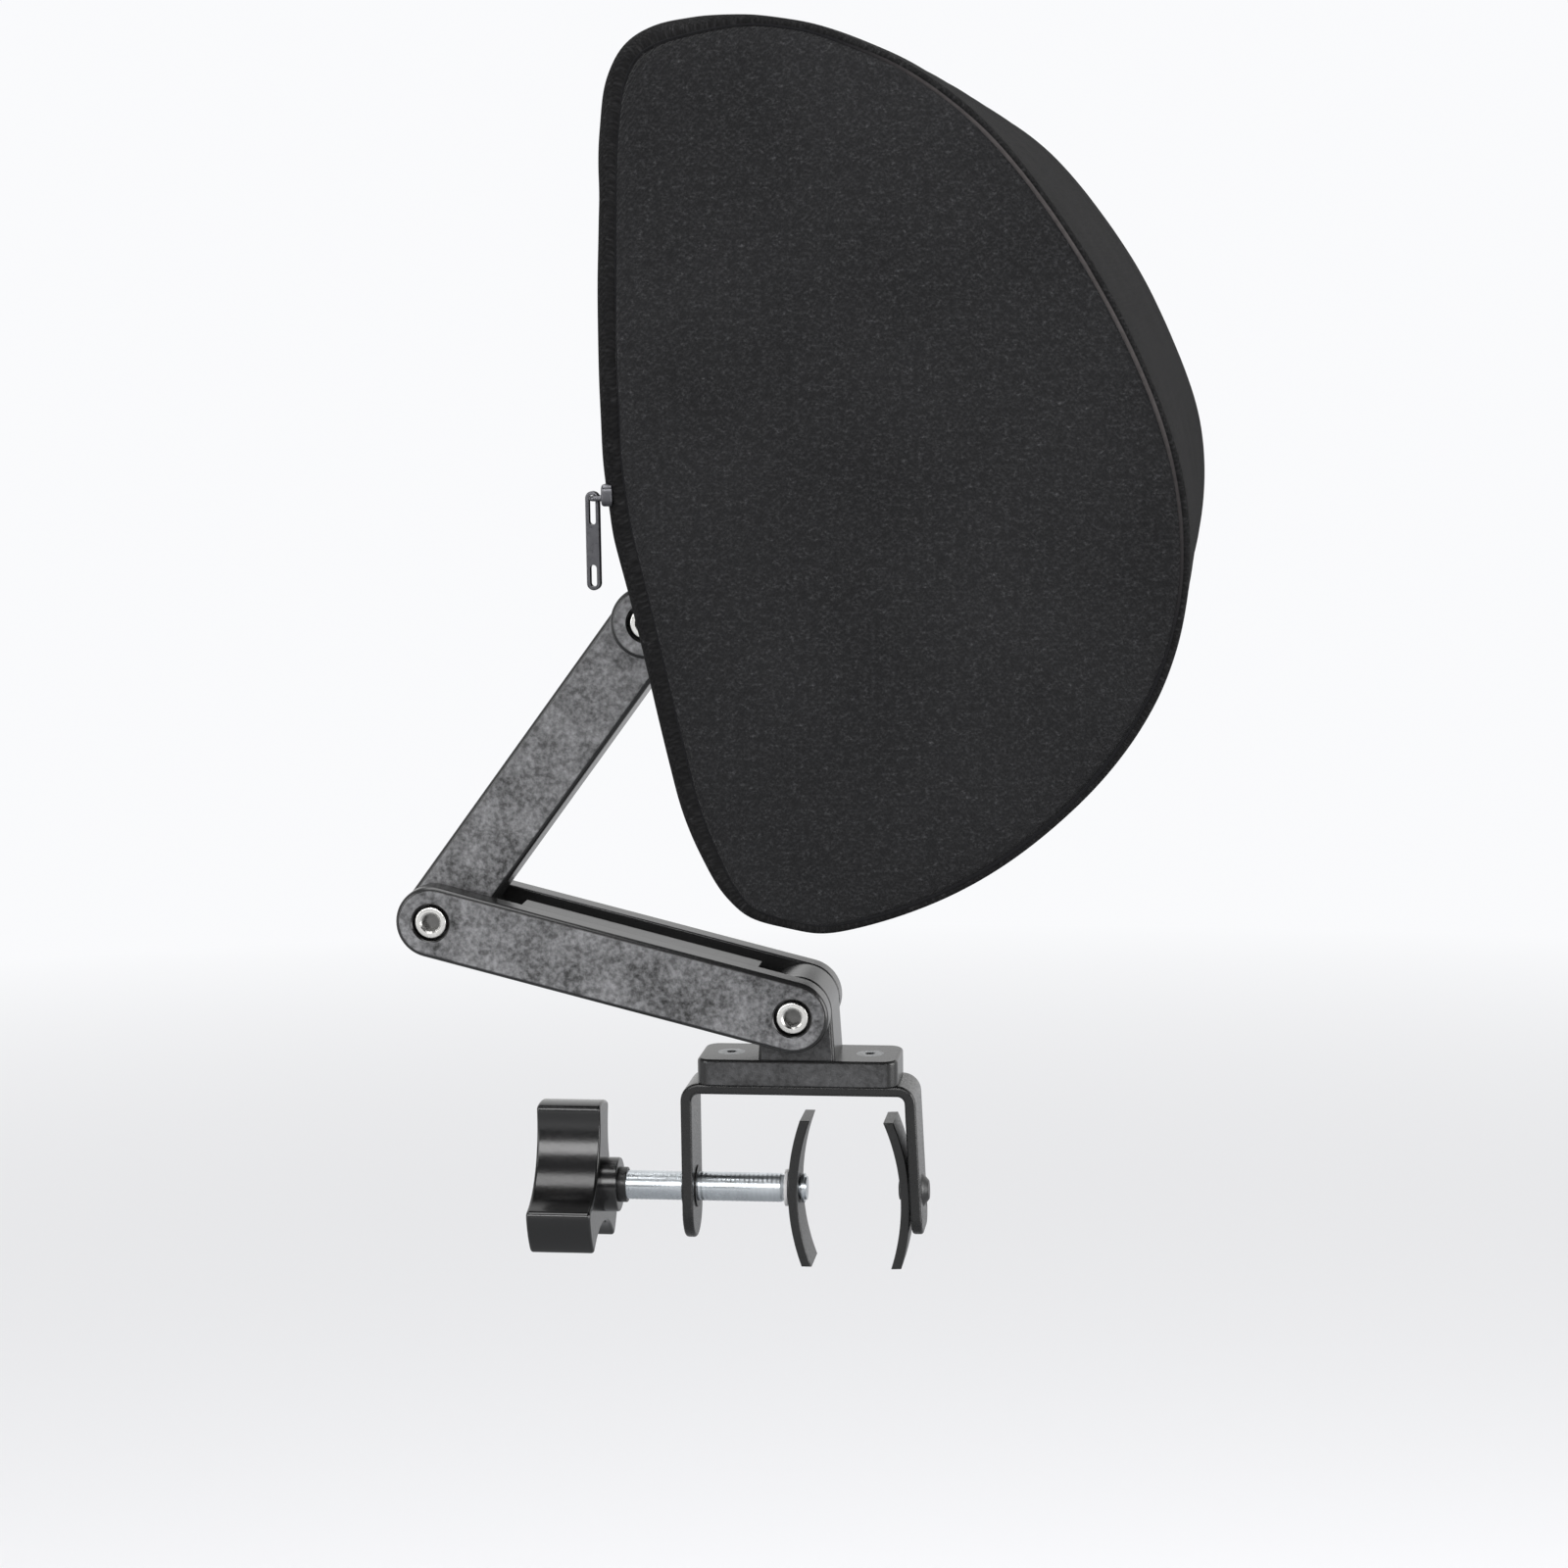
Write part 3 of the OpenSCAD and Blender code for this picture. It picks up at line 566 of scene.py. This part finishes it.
# ---------------------------------------------------------------- headrest mount
def headrest_mount():
    """The plate on the pillow's back with two ears, and four countersunk holes."""
    flat = lambda a, b, t: on_back(t, a, b)
    near, far = (lambda a, b, t: on_back(a, -t, b)), (lambda a, b, t: on_back(a, t, b))
    foot = plate("headrest_fork", rounded_rect(44, 44, 6), 0, 5, 0.3, 1.0, flat)
    half = 12.0
    outline = [(4, half), (4, -half)] + arc(HEAD_N, 0, ARM_R, -math.pi / 2, math.pi / 2, 40)
    combine(foot, [plate("ear", outline, PLATE_Y, OUTER_Y, 0.5, 1.5, at, 6) for at in (near, far)],
            "UNION")
    near, far = shifted(near, HEAD_N), shifted(far, HEAD_N)
    countersink = [(-1, 2.7), (2.6, 2.7), (4.85, 4.55), (7, 4.55)]
    cuts = [hole(near, BOLT_R, -40, 40), head_bore(near), nut_pocket(far)]
    cuts += [lathe("cut", countersink, shifted(flat, y, u), 40)
             for u in (-16.5, 16.5) for y in (-16, 16)]
    return combine(foot, cuts)


finish(headrest_mount(), "headrest", M["arm"], ("headrest_mount",))


# ---------------------------------------------------------------- clamp screw and knob
def threaded_screw():
    """M8 rod with a rolled thread, and its turned-down swivel tip."""
    start, shoulder, end = -63.9, -4.65, 0.6
    pitch, crest, depth, segments, rows_per_turn = 1.25, 3.95, 0.045, 40, 8
    at = along_x(0, SCREW_Z)
    rows = int((shoulder - start) / pitch * rows_per_turn)
    rings = []
    for k in range(rows + 1):
        x = start + (shoulder - start) * k / rows
        run = min(1.0, (shoulder - x) / 1.2, (x - start) / 0.6 + 0.2)
        ring = []
        for i, (c, q) in enumerate(circle(1.0, segments)):
            wave = 0.5 - 0.5 * math.cos(2 * math.pi * (x / pitch - i / segments))
            r = crest - depth * wave ** 0.8 - (1 - run) * 0.5
            ring.append(at(r * c, r * q, x))
        rings.append(ring)
    for x, r in ((shoulder, 2.5), (end - 0.3, 2.5), (end, 2.2)):
        rings.append([at(a, b, x) for a, b in circle(r, segments)])
    return make("clamp_screw_threaded", *loft(rings))


finish(threaded_screw(), "screw", M["zinc"], ("clamp_screw",), 50)


def even_loop(points, count=None, step=1.0):
    """`count` points, or one per `step`, evenly spaced round a closed outline, and its length."""
    pts = [Vector(p) for p in points]
    lengths = [(pts[(i + 1) % len(pts)] - pts[i]).length for i in range(len(pts))]
    total = sum(lengths)
    count = count or int(total / step)
    out, i, gone = [], 0, 0.0
    for k in range(count):
        d = total * k / count
        while gone + lengths[i] < d:
            gone += lengths[i]
            i += 1
        out.append(pts[i].lerp(pts[(i + 1) % len(pts)], (d - gone) / lengths[i]))
    return out, total


def soften(values, times):
    """Averages each value of a closed loop with its neighbours, over and over."""
    n = len(values)
    for _ in range(times):
        values = [(values[i - 1] + values[i] * 2 + values[(i + 1) % n]) / 4 for i in range(n)]
    return values


def smooth_loop(points, reach, step):
    """Resamples a closed outline evenly and rounds its corners over about `reach`."""
    return [tuple(p) for p in soften(even_loop(points, step=step)[0], int((reach / step) ** 2 * 2))]


def knob():
    """Three lobes with round valleys between them, a hub, and a bore for the insert."""
    lobe_r, valley_min, corner = 23.0, 10.5, math.radians(42)
    cx, cy = lobe_r * math.cos(corner), lobe_r * math.sin(corner)
    valley_x = (cx * cx + cy * cy - valley_min ** 2) / (2 * (cx - valley_min))
    valley_r = valley_x - valley_min
    points = []
    for k in range(720):
        a = math.radians(k / 2)
        d = (a + math.pi / 3) % (2 * math.pi / 3) - math.pi / 3
        d = abs(abs(d) - math.pi / 3)
        r = lobe_r
        if d < corner:
            reach = max(0.0, valley_r ** 2 - (valley_x * math.sin(d)) ** 2)
            r = valley_x * math.cos(d) - math.sqrt(reach)
        points.append((r * math.cos(a), r * math.sin(a)))
    obj = plate("clamp_knob_moulding", smooth_loop(points, 1.2, 0.45), -72, -54.5, 0.9, 0.9,
                along_x(0, SCREW_Z, KNOB_TURN))
    at = along_x(0, SCREW_Z)
    hub = [(-56, 7.4), (-50.5, 7.4), (-50.15, 7.25), (-50, 6.9), (-50, 4.9)]
    combine(obj, [lathe("hub", hub, at)], "UNION")
    return combine(obj, [lathe("cut", [(-63.9, 4.8), (-45, 4.8)], at, 48)])


finish(knob(), "screw", M["knob"], ("clamp_knob",), 30)

# ---------------------------------------------------------------- pillow
# side outline in (x, z): the back, and the front as radii about FRONT_CENTRE, one per FRONT_STEP
PILLOW_BACK = [(6.5, 73.6), (0.5, 80.5), SEAT_LOW, SEAT_HIGH, (-24.2, 176), (-24.6, 195),
               (-24.6, 218), (-23.9, 244), (-22.2, 261), (-18.6, 269.5), (-11.5, 273.6),
               (-1, 274.8), (10, 274.7), (24, 272.3)]
FRONT_CENTRE, FRONT_START, FRONT_STEP = (8.5, 170), 72, -7
FRONT_RADII = [101, 99.0, 96.9, 94.6, 92.6, 91.4, 91.0, 91.3, 92.4, 94.1, 96.1, 97.9, 99.6, 101.0,
               101.7, 101.8, 101.7, 101.5, 101.5, 101.5, 101.5, 101.5, 101.5]


LOOP_N = 136  # points round the side outline
SEAM_FRONT, SEAM_BACK = 1.8, 5.0  # radius of the corner between wrap and side panel
# (z, how far the back stands out past the seat's plane near the ends)
BACK_OUT = [(76, 1.4), (86, 2.0), (100, 3.2), (120, 2.6), (148, 1.6), (168, 1.3), (300, 1.3)]
SUBSTEPS = 4


def pillow_loop():
    """Side outline of the pillow, anticlockwise seen from -Y, its corners softened."""
    front = []
    last = len(FRONT_RADII) - 1
    for i in range(last * SUBSTEPS + 1):
        k, part = divmod(i, SUBSTEPS)
        r = FRONT_RADII[k] + (FRONT_RADII[min(k + 1, last)] - FRONT_RADII[k]) * part / SUBSTEPS
        a = math.radians(FRONT_START + FRONT_STEP * i / SUBSTEPS)
        front.append((FRONT_CENTRE[0] + r * math.cos(a), FRONT_CENTRE[1] + r * math.sin(a)))
    points = smooth_loop(list(reversed(front + PILLOW_BACK)), 2.2, 2.0)
    low = min(range(len(points)), key=lambda i: (points[i][0] - 9) ** 2 + (points[i][1] - 72) ** 2)
    loop, total = even_loop(points[low:] + points[:low], LOOP_N)
    return [tuple(p) for p in loop], total


def smooth(lo, hi, x):
    """Rises smoothly from 0 at lo to 1 at hi."""
    t = max(0.0, min(1.0, (x - lo) / (hi - lo)))
    return t * t * (3 - 2 * t)


def back_out(z):
    """BACK_OUT at height z."""
    for (z0, a), (z1, b) in zip(BACK_OUT, BACK_OUT[1:]):
        if z < z1:
            return a + (b - a) * max(0.0, (z - z0) / (z1 - z0))
    return 0.0


def side_panel(verts, start, flip):
    """Faces that fill the ring of LOOP_N verts from `start`. Adds the inner vertices to verts."""
    side = LOOP_N // 4
    faces = []
    grid = [[0] * (side + 1) for _ in range(side + 1)]
    for i in range(side + 1):
        grid[i][0] = start + i
        grid[side][i] = start + side + i
        grid[side - i][side] = start + 2 * side + i
        grid[0][side - i] = start + (3 * side + i) % LOOP_N
    corner = {(i, j): Vector(verts[grid[i * side][j * side]]) for i in (0, 1) for j in (0, 1)}
    for i in range(1, side):
        for j in range(1, side):
            u, v = i / side, j / side
            b, t = Vector(verts[grid[i][0]]), Vector(verts[grid[i][side]])
            l, r = Vector(verts[grid[0][j]]), Vector(verts[grid[side][j]])
            p = (b * (1 - v) + t * v + l * (1 - u) + r * u - corner[0, 0] * (1 - u) * (1 - v)
                 - corner[1, 0] * u * (1 - v) - corner[0, 1] * (1 - u) * v - corner[1, 1] * u * v)
            grid[i][j] = len(verts)
            verts.append(tuple(p))
    for i in range(side):
        for j in range(side):
            q = (grid[i][j], grid[i + 1][j], grid[i + 1][j + 1], grid[i][j + 1])
            faces.append(tuple(reversed(q)) if flip else q)
    return faces


def build_pillow():
    """The whole cover as one mesh. Face tag `part`: 0 wrap, 1 near panel, 2 far panel."""
    loop, total = pillow_loop()
    n = LOOP_N
    back = soften([1.0 if x < 2 and z > 78 else 0.0 for x, z in loop], 10)
    corner = [SEAM_FRONT + (SEAM_BACK - SEAM_FRONT) * w for w in back]
    inward = [(b[0] - a[0], b[1] - a[1]) for a, b in zip(loop, inset(loop, 1.0))]
    lower_back = soften([1.0 if x < 7 and z < 270 else 0.0 for x, z in loop], 6)
    out = [w * back_out(z) for w, (x, z) in zip(lower_back, loop)]

    def row(side, angle=None, y=None):
        """One loop of the cover, on the corner at `angle` from the seam or straight across at y."""
        ring = []
        for (x, z), (dx, dz), c, o in zip(loop, inward, corner, out):
            d, here = 0.0, y
            if angle is not None:
                d = c * (1 - math.sin(angle))
                here = side * (PILLOW_HALF - c * (1 - math.cos(angle)))
            d -= o * smooth(80, 134, abs(here))
            ring.append((x + dx * d, here, z + dz * d))
        return ring

    middle, reach = 46, PILLOW_HALF - SEAM_BACK
    corners = [math.pi / 2 * i / 4 for i in range(5)]
    rings = [row(-1, angle=a) for a in corners]
    rings += [row(0, y=-reach + 2 * reach * i / middle) for i in range(1, middle)]
    rings += [row(1, angle=a) for a in reversed(corners)]
    verts, faces = loft(rings, close=False)
    wrap_end = len(faces)
    faces += side_panel(verts, 0, False)
    near_end = len(faces)
    faces += side_panel(verts, (len(rings) - 1) * n, True)
    mesh = bpy.data.meshes.new("pillow")
    mesh.from_pydata([Vector(v) * MM for v in verts], [], faces)
    obj = bpy.data.objects.new("pillow", mesh)
    scene.collection.objects.link(obj)
    tag = mesh.attributes.new("part", "INT", "FACE")
    uv = mesh.uv_layers.new(name="cloth")
    for p in mesh.polygons:
        part = 0 if p.index < wrap_end else (1 if p.index < near_end else 2)
        tag.data[p.index].value = part
        for li, vi in zip(p.loop_indices, p.vertices):
            x, y, z = verts[vi]
            if part:
                uv.data[li].uv = (x * MM, z * MM)
            else:
                i = vi % n
                if i == 0 and p.index % n == n - 1:
                    i = n
                uv.data[li].uv = (y * MM, i * total / n * MM)
    bm = bmesh.new()
    bm.from_mesh(mesh)
    bmesh.ops.recalc_face_normals(bm, faces=bm.faces)
    bm.to_mesh(mesh)
    bm.free()
    return obj, len(rings)


def press(obj, soft, frames=20, pressure=4.0):
    """Swells obj by cloth pressure where soft(co, index) is above 0.

    Returns where each point was, and how far it went.
    """
    group = obj.vertex_groups.new(name="pin")
    rest = [v.co.copy() for v in obj.data.vertices]
    for v in obj.data.vertices:
        group.add([v.index], 1.0 - soft(v.co / MM, v.index), "REPLACE")
    cloth = obj.modifiers.new("cloth", "CLOTH")
    s = cloth.settings
    s.quality = 6
    s.mass = 0.3
    s.tension_stiffness = s.compression_stiffness = 25
    s.shear_stiffness = 12
    s.bending_stiffness = 4
    s.tension_damping = s.compression_damping = 20
    s.use_pressure = True
    s.uniform_pressure_force = pressure
    s.vertex_group_mass = "pin"
    s.pin_stiffness = 1.0
    s.effector_weights.gravity = 0
    cloth.collision_settings.use_self_collision = False
    cloth.point_cache.frame_start, cloth.point_cache.frame_end = 1, frames
    for number in range(1, frames + 1):
        scene.frame_set(number)
    deps = bpy.context.evaluated_depsgraph_get()
    ev = obj.evaluated_get(deps).to_mesh()
    moved = [v.co - r for v, r in zip(ev.vertices, rest)]
    obj.modifiers.remove(cloth)
    scene.frame_set(1)
    return rest, moved


pillow, ring_count = build_pillow()
WRAP_VERTS = ring_count * LOOP_N
WRAP_SWELL, PANEL_SWELL = 1.1, 3.4  # the most that pressure may swell them


def softness(co, index):
    """1 where the cover may swell, 0 on its seams, over the board and along the zip."""
    x, y, z = co
    if index < WRAP_VERTS and index // LOOP_N in (0, ring_count - 1):
        return 0.0
    board, zip_band = 88 < z < 163 and abs(y) < 112, 163 <= z <= 180
    return 0.0 if x < 0.5 and (board or zip_band) else 1.0


rest, moved = press(pillow, softness)
for v, r, d in zip(pillow.data.vertices, rest, moved):
    length = d.length
    cap = (WRAP_SWELL if v.index < WRAP_VERTS else PANEL_SWELL) * MM
    if length > 1e-9:
        v.co = r + d * (cap * math.tanh(length / cap) / length)


def groove(obj):
    """Draws the seams in by a little and adds the small puckers that stitching makes."""
    mesh = obj.data
    n = LOOP_N
    for ring, sign in ((0, -1), (ring_count - 1, 1)):
        for i in range(n):
            v = mesh.vertices[ring * n + i]
            v.co.y -= sign * (0.9 + 0.35 * noise.noise(v.co * 90)) * MM
    for v in mesh.vertices:
        give = softness(v.co / MM, v.index)
        v.co += v.normal * (give * 0.45 * MM * noise.noise(v.co * 28 + Vector((3, 1, 7))))


groove(pillow)
seam_rows = [[pillow.data.vertices[r * LOOP_N + i].co.copy() for i in range(LOOP_N)]
             for r in (0, ring_count - 1)]
pillow.vertex_groups.clear()
sub = pillow.modifiers.new("sub", "SUBSURF")
sub.levels = sub.render_levels = 2
bake(pillow)
for v in pillow.data.vertices:  # the wrap sinks under the zip
    x, y, z = v.co / MM
    if x < -15:
        sunk = smooth(165.2, 166.4, z) * (1 - smooth(172.8, 174.0, z))
        v.co.x += 2.5 * MM * (sunk * (1 - smooth(139.0, 140.5, abs(y))))


def take_part(part, name):
    """A new object from the pillow's faces whose tag is `part`."""
    obj = pillow.copy()
    obj.data = pillow.data.copy()
    obj.name = name
    scene.collection.objects.link(obj)
    bm = bmesh.new()
    bm.from_mesh(obj.data)
    layer = bm.faces.layers.int["part"]
    bmesh.ops.delete(bm, geom=[f for f in bm.faces if f[layer] != part], context="FACES")
    bm.to_mesh(obj.data)
    bm.free()
    return obj


wrap = take_part(0, "pillow_wrap")
near_panel = take_part(1, "pillow_panel_near")
far_panel = take_part(2, "pillow_panel_far")
bpy.data.objects.remove(pillow)
for obj, mat, slot, nodes in ((wrap, "wrap", "wrap_fabric", ("cover_wrap", "pillow_foam")),
                              (near_panel, "panel", "panel_fabric", ("side_panel_near",)),
                              (far_panel, "panel", "panel_fabric", ("side_panel_far",))):
    thick = obj.modifiers.new("thick", "SOLIDIFY")
    thick.thickness, thick.offset = 1.2 * MM, -1.0
    bake(obj)
    finish(obj, "headrest", M[mat], nodes, None)


# ---------------------------------------------------------------- seam cord and stitches
def seam_cord(name, row, sign):
    """A thin welt along the seam, fuller along the front."""
    verts, faces = [], []
    n, spokes = len(row), circle(1.0, 8)
    for i, p in enumerate(row):
        along = (row[(i + 1) % n] - row[i - 1]).normalized()
        out = Vector((0, sign, 0))
        across = along.cross(out).normalized()
        r = 0.28 + 0.3 * smooth(10, 40, p.x / MM)
        verts += [tuple(p / MM + across * (c * r) + out * (q * r + 0.1)) for c, q in spokes]
    for i in range(n):
        for k in range(8):
            u, v = i * 8 + k, i * 8 + (k + 1) % 8
            w = ((i + 1) % n) * 8
            faces.append((u, v, w + (k + 1) % 8, w + k))
    obj = make(name, verts, faces)
    sub = obj.modifiers.new("sub", "SUBSURF")
    sub.levels = sub.render_levels = 1
    bake(obj)
    # painted highlight: marks the cord paler towards the front and the top, where light catches it
    painted_highlight = obj.data.attributes.new("painted_highlight", "FLOAT", "POINT")
    for v in obj.data.vertices:
        painted_highlight.data[v.index].value = smooth(25, 65, v.co.x / MM) * smooth(130, 200, v.co.z / MM)
    return finish(obj, "headrest", M["cord"], angle=None)


def stitches(name, row, sign, pitch=3.4, length=2.2, width=0.3):
    """A row of thread stitches on the end face, just inside the back's seam."""
    verts, faces = [], []
    gone, from_seam = 0.0, 1.4
    # along the stitch, share of its width, lift off the cloth
    ends = ((-0.5, 0.35, -0.3), (-0.36, 1.0, 0.1), (0.0, 1.0, 0.2), (0.36, 1.0, 0.1),
            (0.5, 0.35, -0.3))
    for a, b in zip(row, row[1:] + row[:1]):
        edge = (b - a).length / MM
        while gone < edge:
            p = a.lerp(b, gone / edge) / MM
            gone += pitch
            if p.x > 0 or p.z < 95:
                continue
            along, out = (b - a).normalized(), Vector((0, sign, 0))
            across = along.cross(out).normalized()
            if across.x < 0:
                across = -across
            start = len(verts)
            ring_verts, ring_faces = loft([[tuple(
                p + along * (s * length) + across * (from_seam + c * width * w)
                + out * (q * width * w + lift)) for c, q in circle(1.0, 6)] for s, w, lift in ends])
            verts += ring_verts
            faces += [tuple(start + i for i in face) for face in ring_faces]
        gone -= edge
    return finish(make(name, verts, faces), "headrest", M["thread"], angle=40)


for side, row, sign in (("near", seam_rows[0], -1), ("far", seam_rows[1], 1)):
    seam_cord("seam_cord_" + side, row, sign)
    stitches("seam_stitches_" + side, row, sign)

# ---------------------------------------------------------------- zip
def zip_tapes():
    obj = plate("zip_tapes", [(-138, -3.2), (138, -3.2), (138, 3.2), (-138, 3.2)], 20.6, 21.3,
                0.1, 0.2, lambda a, b, t: (-t, a, CHAIN_Z + b), 2)
    uv = obj.data.uv_layers.new(name="cloth")
    for corner in obj.data.loops:
        co = obj.data.vertices[corner.vertex_index].co
        uv.data[corner.index].uv = (co.y, co.z)
    return obj


def zip_coil():
    """Coil elements of the closed chain, which come from each tape in turn."""
    verts, faces = [], []
    count, half, x = 170, 136, -21.75
    stations = [(-1.9, 0.45), (-1.5, 0.62), (0.9, 0.62), (1.35, 0.42)]  # (across, radius)
    for k in range(count):
        y, side = -half + 2 * half * k / (count - 1), 1 if k % 2 else -1
        rings = [[(x - a, y + b, CHAIN_Z - side * s) for a, b in circle(w, 8)] for s, w in stations]
        v, f = loft(rings)
        faces += [tuple(i + len(verts) for i in q) for q in f]
        verts += v
    return make("zip_coil", verts, faces)


finish(zip_tapes(), "headrest", M["tape"], ("zip_chain",))
finish(zip_coil(), "headrest", M["thread"])


def tube(points, r, z):
    """Rings of a rod of radius r along points in the plane at z."""
    rings = []
    for i, p in enumerate(points):
        a, b = Vector(points[max(i - 1, 0)]), Vector(points[min(i + 1, len(points) - 1)])
        d = (b - a).normalized()
        rings.append([(p[0] - d.y * c, p[1] + d.x * c, z + q) for c, q in circle(r, 12)])
    return rings


def zip_slider():
    """The waisted body with the bail that the puller hangs from."""
    at = lambda a, b, t: (-t, SLIDER_Y + a, CHAIN_Z + b)
    waist = [(-4.5, -1.7), (-3.4, -2.6), (-0.6, -2.3), (2.2, -2.8), (4.1, -2.5), (4.5, -1.4),
             (4.5, 1.4), (4.1, 2.5), (2.2, 2.8), (-0.6, 2.3), (-3.4, 2.6), (-4.5, 1.7)]
    body = plate("zip_slider_cast", smooth_loop(waist, 0.5, 0.35), 22.75, 25.3, 0.25, 0.6, at, 4)
    half = 2.6
    bend = [(-24.6, half), (-26.9, half), (-27.5, half - 0.15), (-27.8, half - 0.5),
            (-27.9, half - 1.0)]
    path = [(x, SLIDER_Y - y) for x, y in bend] + [(x, SLIDER_Y + y) for x, y in reversed(bend)]
    bail = make("bail", *loft(tube(path, 0.58, BAIL[1])))
    return combine(body, [bail], "UNION")


finish(zip_slider(), "slider", M["zip"], ("zip_slider",))


def zip_puller():
    """Narrow loop with an upper window round the arch, a web and a lower window."""
    at = lambda a, b, t: (BAIL[0] + b, SLIDER_Y + t, BAIL[1] - a)
    body = plate("zip_puller_cast", stadium(19.2, 1.6), -1.1, 1.1, 0.35, 0.35, at, 4)
    cuts = [make("cut", *loft([[at(a + start, b, t) for a, b in stadium(run, 0.78, 12)]
                               for t in (-3, 3)]))
            for start, run in ((0.0, 5.2), (15.8, 3.4))]
    return combine(body, cuts)


finish(zip_puller(), "puller", M["zip"], ("zip_puller",))

# ---------------------------------------------------------------- floor, light, camera
WORLD = (0.955, 0.96, 0.975)


def studio_floor():
    """A wide disc, paler to the camera than to other rays, that fades into the world's colour."""
    mesh = bpy.data.meshes.new("floor")
    outline = circle(30.0, 64)
    mesh.from_pydata([(x, y, FLOOR_M) for x, y in outline], [], [tuple(range(len(outline)))])
    obj = bpy.data.objects.new("floor", mesh)
    scene.collection.objects.link(obj)
    f = Finish("floor", Roughness=0.9, Specular_IOR_Level=0.1)
    to_camera = f.node("ShaderNodeLightPath").outputs["Is Camera Ray"]
    f.link(f.ramp(to_camera, [(0.0, (0.3, 0.305, 0.315)), (1.0, (0.80, 0.80, 0.815))]),
           "Base Color")
    away = f.node("ShaderNodeVectorMath", {"Vector": f.coords}, operation="LENGTH").outputs["Value"]
    glow = f.node("ShaderNodeEmission", Strength=1.0, Color=(*WORLD, 1))
    mix = f.node("ShaderNodeMixShader")
    f.tree.links.new(f.span(away, 0.5, 2.2), mix.inputs[0])
    f.tree.links.new(f.shader.outputs[0], mix.inputs[1])
    f.tree.links.new(glow.outputs[0], mix.inputs[2])
    f.tree.links.new(mix.outputs[0], f.tree.nodes["Material Output"].inputs[0])
    mesh.materials.append(f.material)
    return obj


studio_floor()


def studio_world():
    """The camera sees WORLD. Other rays see grey behind the camera, rising to white beyond."""
    world = bpy.data.worlds.new("studio")
    scene.world = world
    world.use_nodes = True
    tree = world.node_tree
    node = lambda kind: tree.nodes.new("ShaderNode" + kind)
    seen = tree.nodes["Background"]
    seen.inputs["Color"].default_value = (*WORLD, 1)
    room, split, shade, pick = (node(kind) for kind in
                                ("Background", "SeparateXYZ", "ValToRGB", "MixShader"))
    shade.color_ramp.elements[0].color = (0.18, 0.183, 0.19, 1)
    shade.color_ramp.elements[1].color = (1.0, 1.0, 1.0, 1)
    back = node("MapRange")
    back.inputs["From Min"].default_value, back.inputs["From Max"].default_value = -0.15, 0.7
    for out, socket in ((node("TexCoord").outputs["Generated"], split.inputs[0]),
                        (split.outputs["Y"], back.inputs["Value"]),
                        (back.outputs[0], shade.inputs[0]),
                        (shade.outputs[0], room.inputs["Color"]),
                        (node("LightPath").outputs["Is Camera Ray"], pick.inputs[0]),
                        (room.outputs[0], pick.inputs[1]), (seen.outputs[0], pick.inputs[2]),
                        (pick.outputs[0], tree.nodes["World Output"].inputs[0])):
        tree.links.new(out, socket)


studio_world()


def area(name, place, target, size, power):
    """A rectangular light of the given size in metres, aimed at target."""
    light = bpy.data.lights.new(name, "AREA")
    light.shape, light.size, light.size_y = "RECTANGLE", *size
    light.energy = power
    obj = bpy.data.objects.new(name, light)
    obj.location = place
    obj.rotation_euler = (Vector(target) - Vector(place)).to_track_quat("-Z", "Y").to_euler()
    scene.collection.objects.link(obj)


area("top", (-0.1, 0.0, 1.3), (0, 0, 0.1), (1.2, 0.9), 14)
area("front", (0.0, -1.3, 0.62), (0, 0, 0.1), (1.7, 0.42), 14)
area("left", (-1.1, -0.7, 0.45), (0, 0, 0.1), (0.5, 0.9), 6)
area("side", (1.2, -0.2, 0.25), (0, 0, 0.0), (0.8, 0.9), 14)


def photo_camera(yaw, pitch, roll, position, lens):
    """The photo's camera. Angles in degrees: yaw 0 looks along +Y, and pitch looks down."""
    data = bpy.data.cameras.new("camera")
    obj = bpy.data.objects.new("camera", data)
    scene.collection.objects.link(obj)
    yaw, pitch, roll = math.radians(yaw), math.radians(pitch), math.radians(roll)
    fwd = Vector((-math.sin(yaw) * math.cos(pitch), math.cos(yaw) * math.cos(pitch),
                  -math.sin(pitch)))
    level = fwd.cross(Vector((0, 0, 1))).normalized()
    rise = level.cross(fwd)
    right = level * math.cos(roll) + rise * math.sin(roll)
    up = rise * math.cos(roll) - level * math.sin(roll)
    matrix = Matrix((right, up, -fwd)).transposed().to_4x4()
    matrix.translation = position
    obj.matrix_world = matrix
    data.sensor_width, data.lens = 36.0, lens
    data.clip_start, data.clip_end = 0.01, 200.0
    scene.camera = obj


photo_camera(7.41, 8.28, -0.8, (0.11777, -0.93273, 0.21995), 81.83)
scene.view_settings.view_transform = "Standard"
scene.view_settings.look = "None"
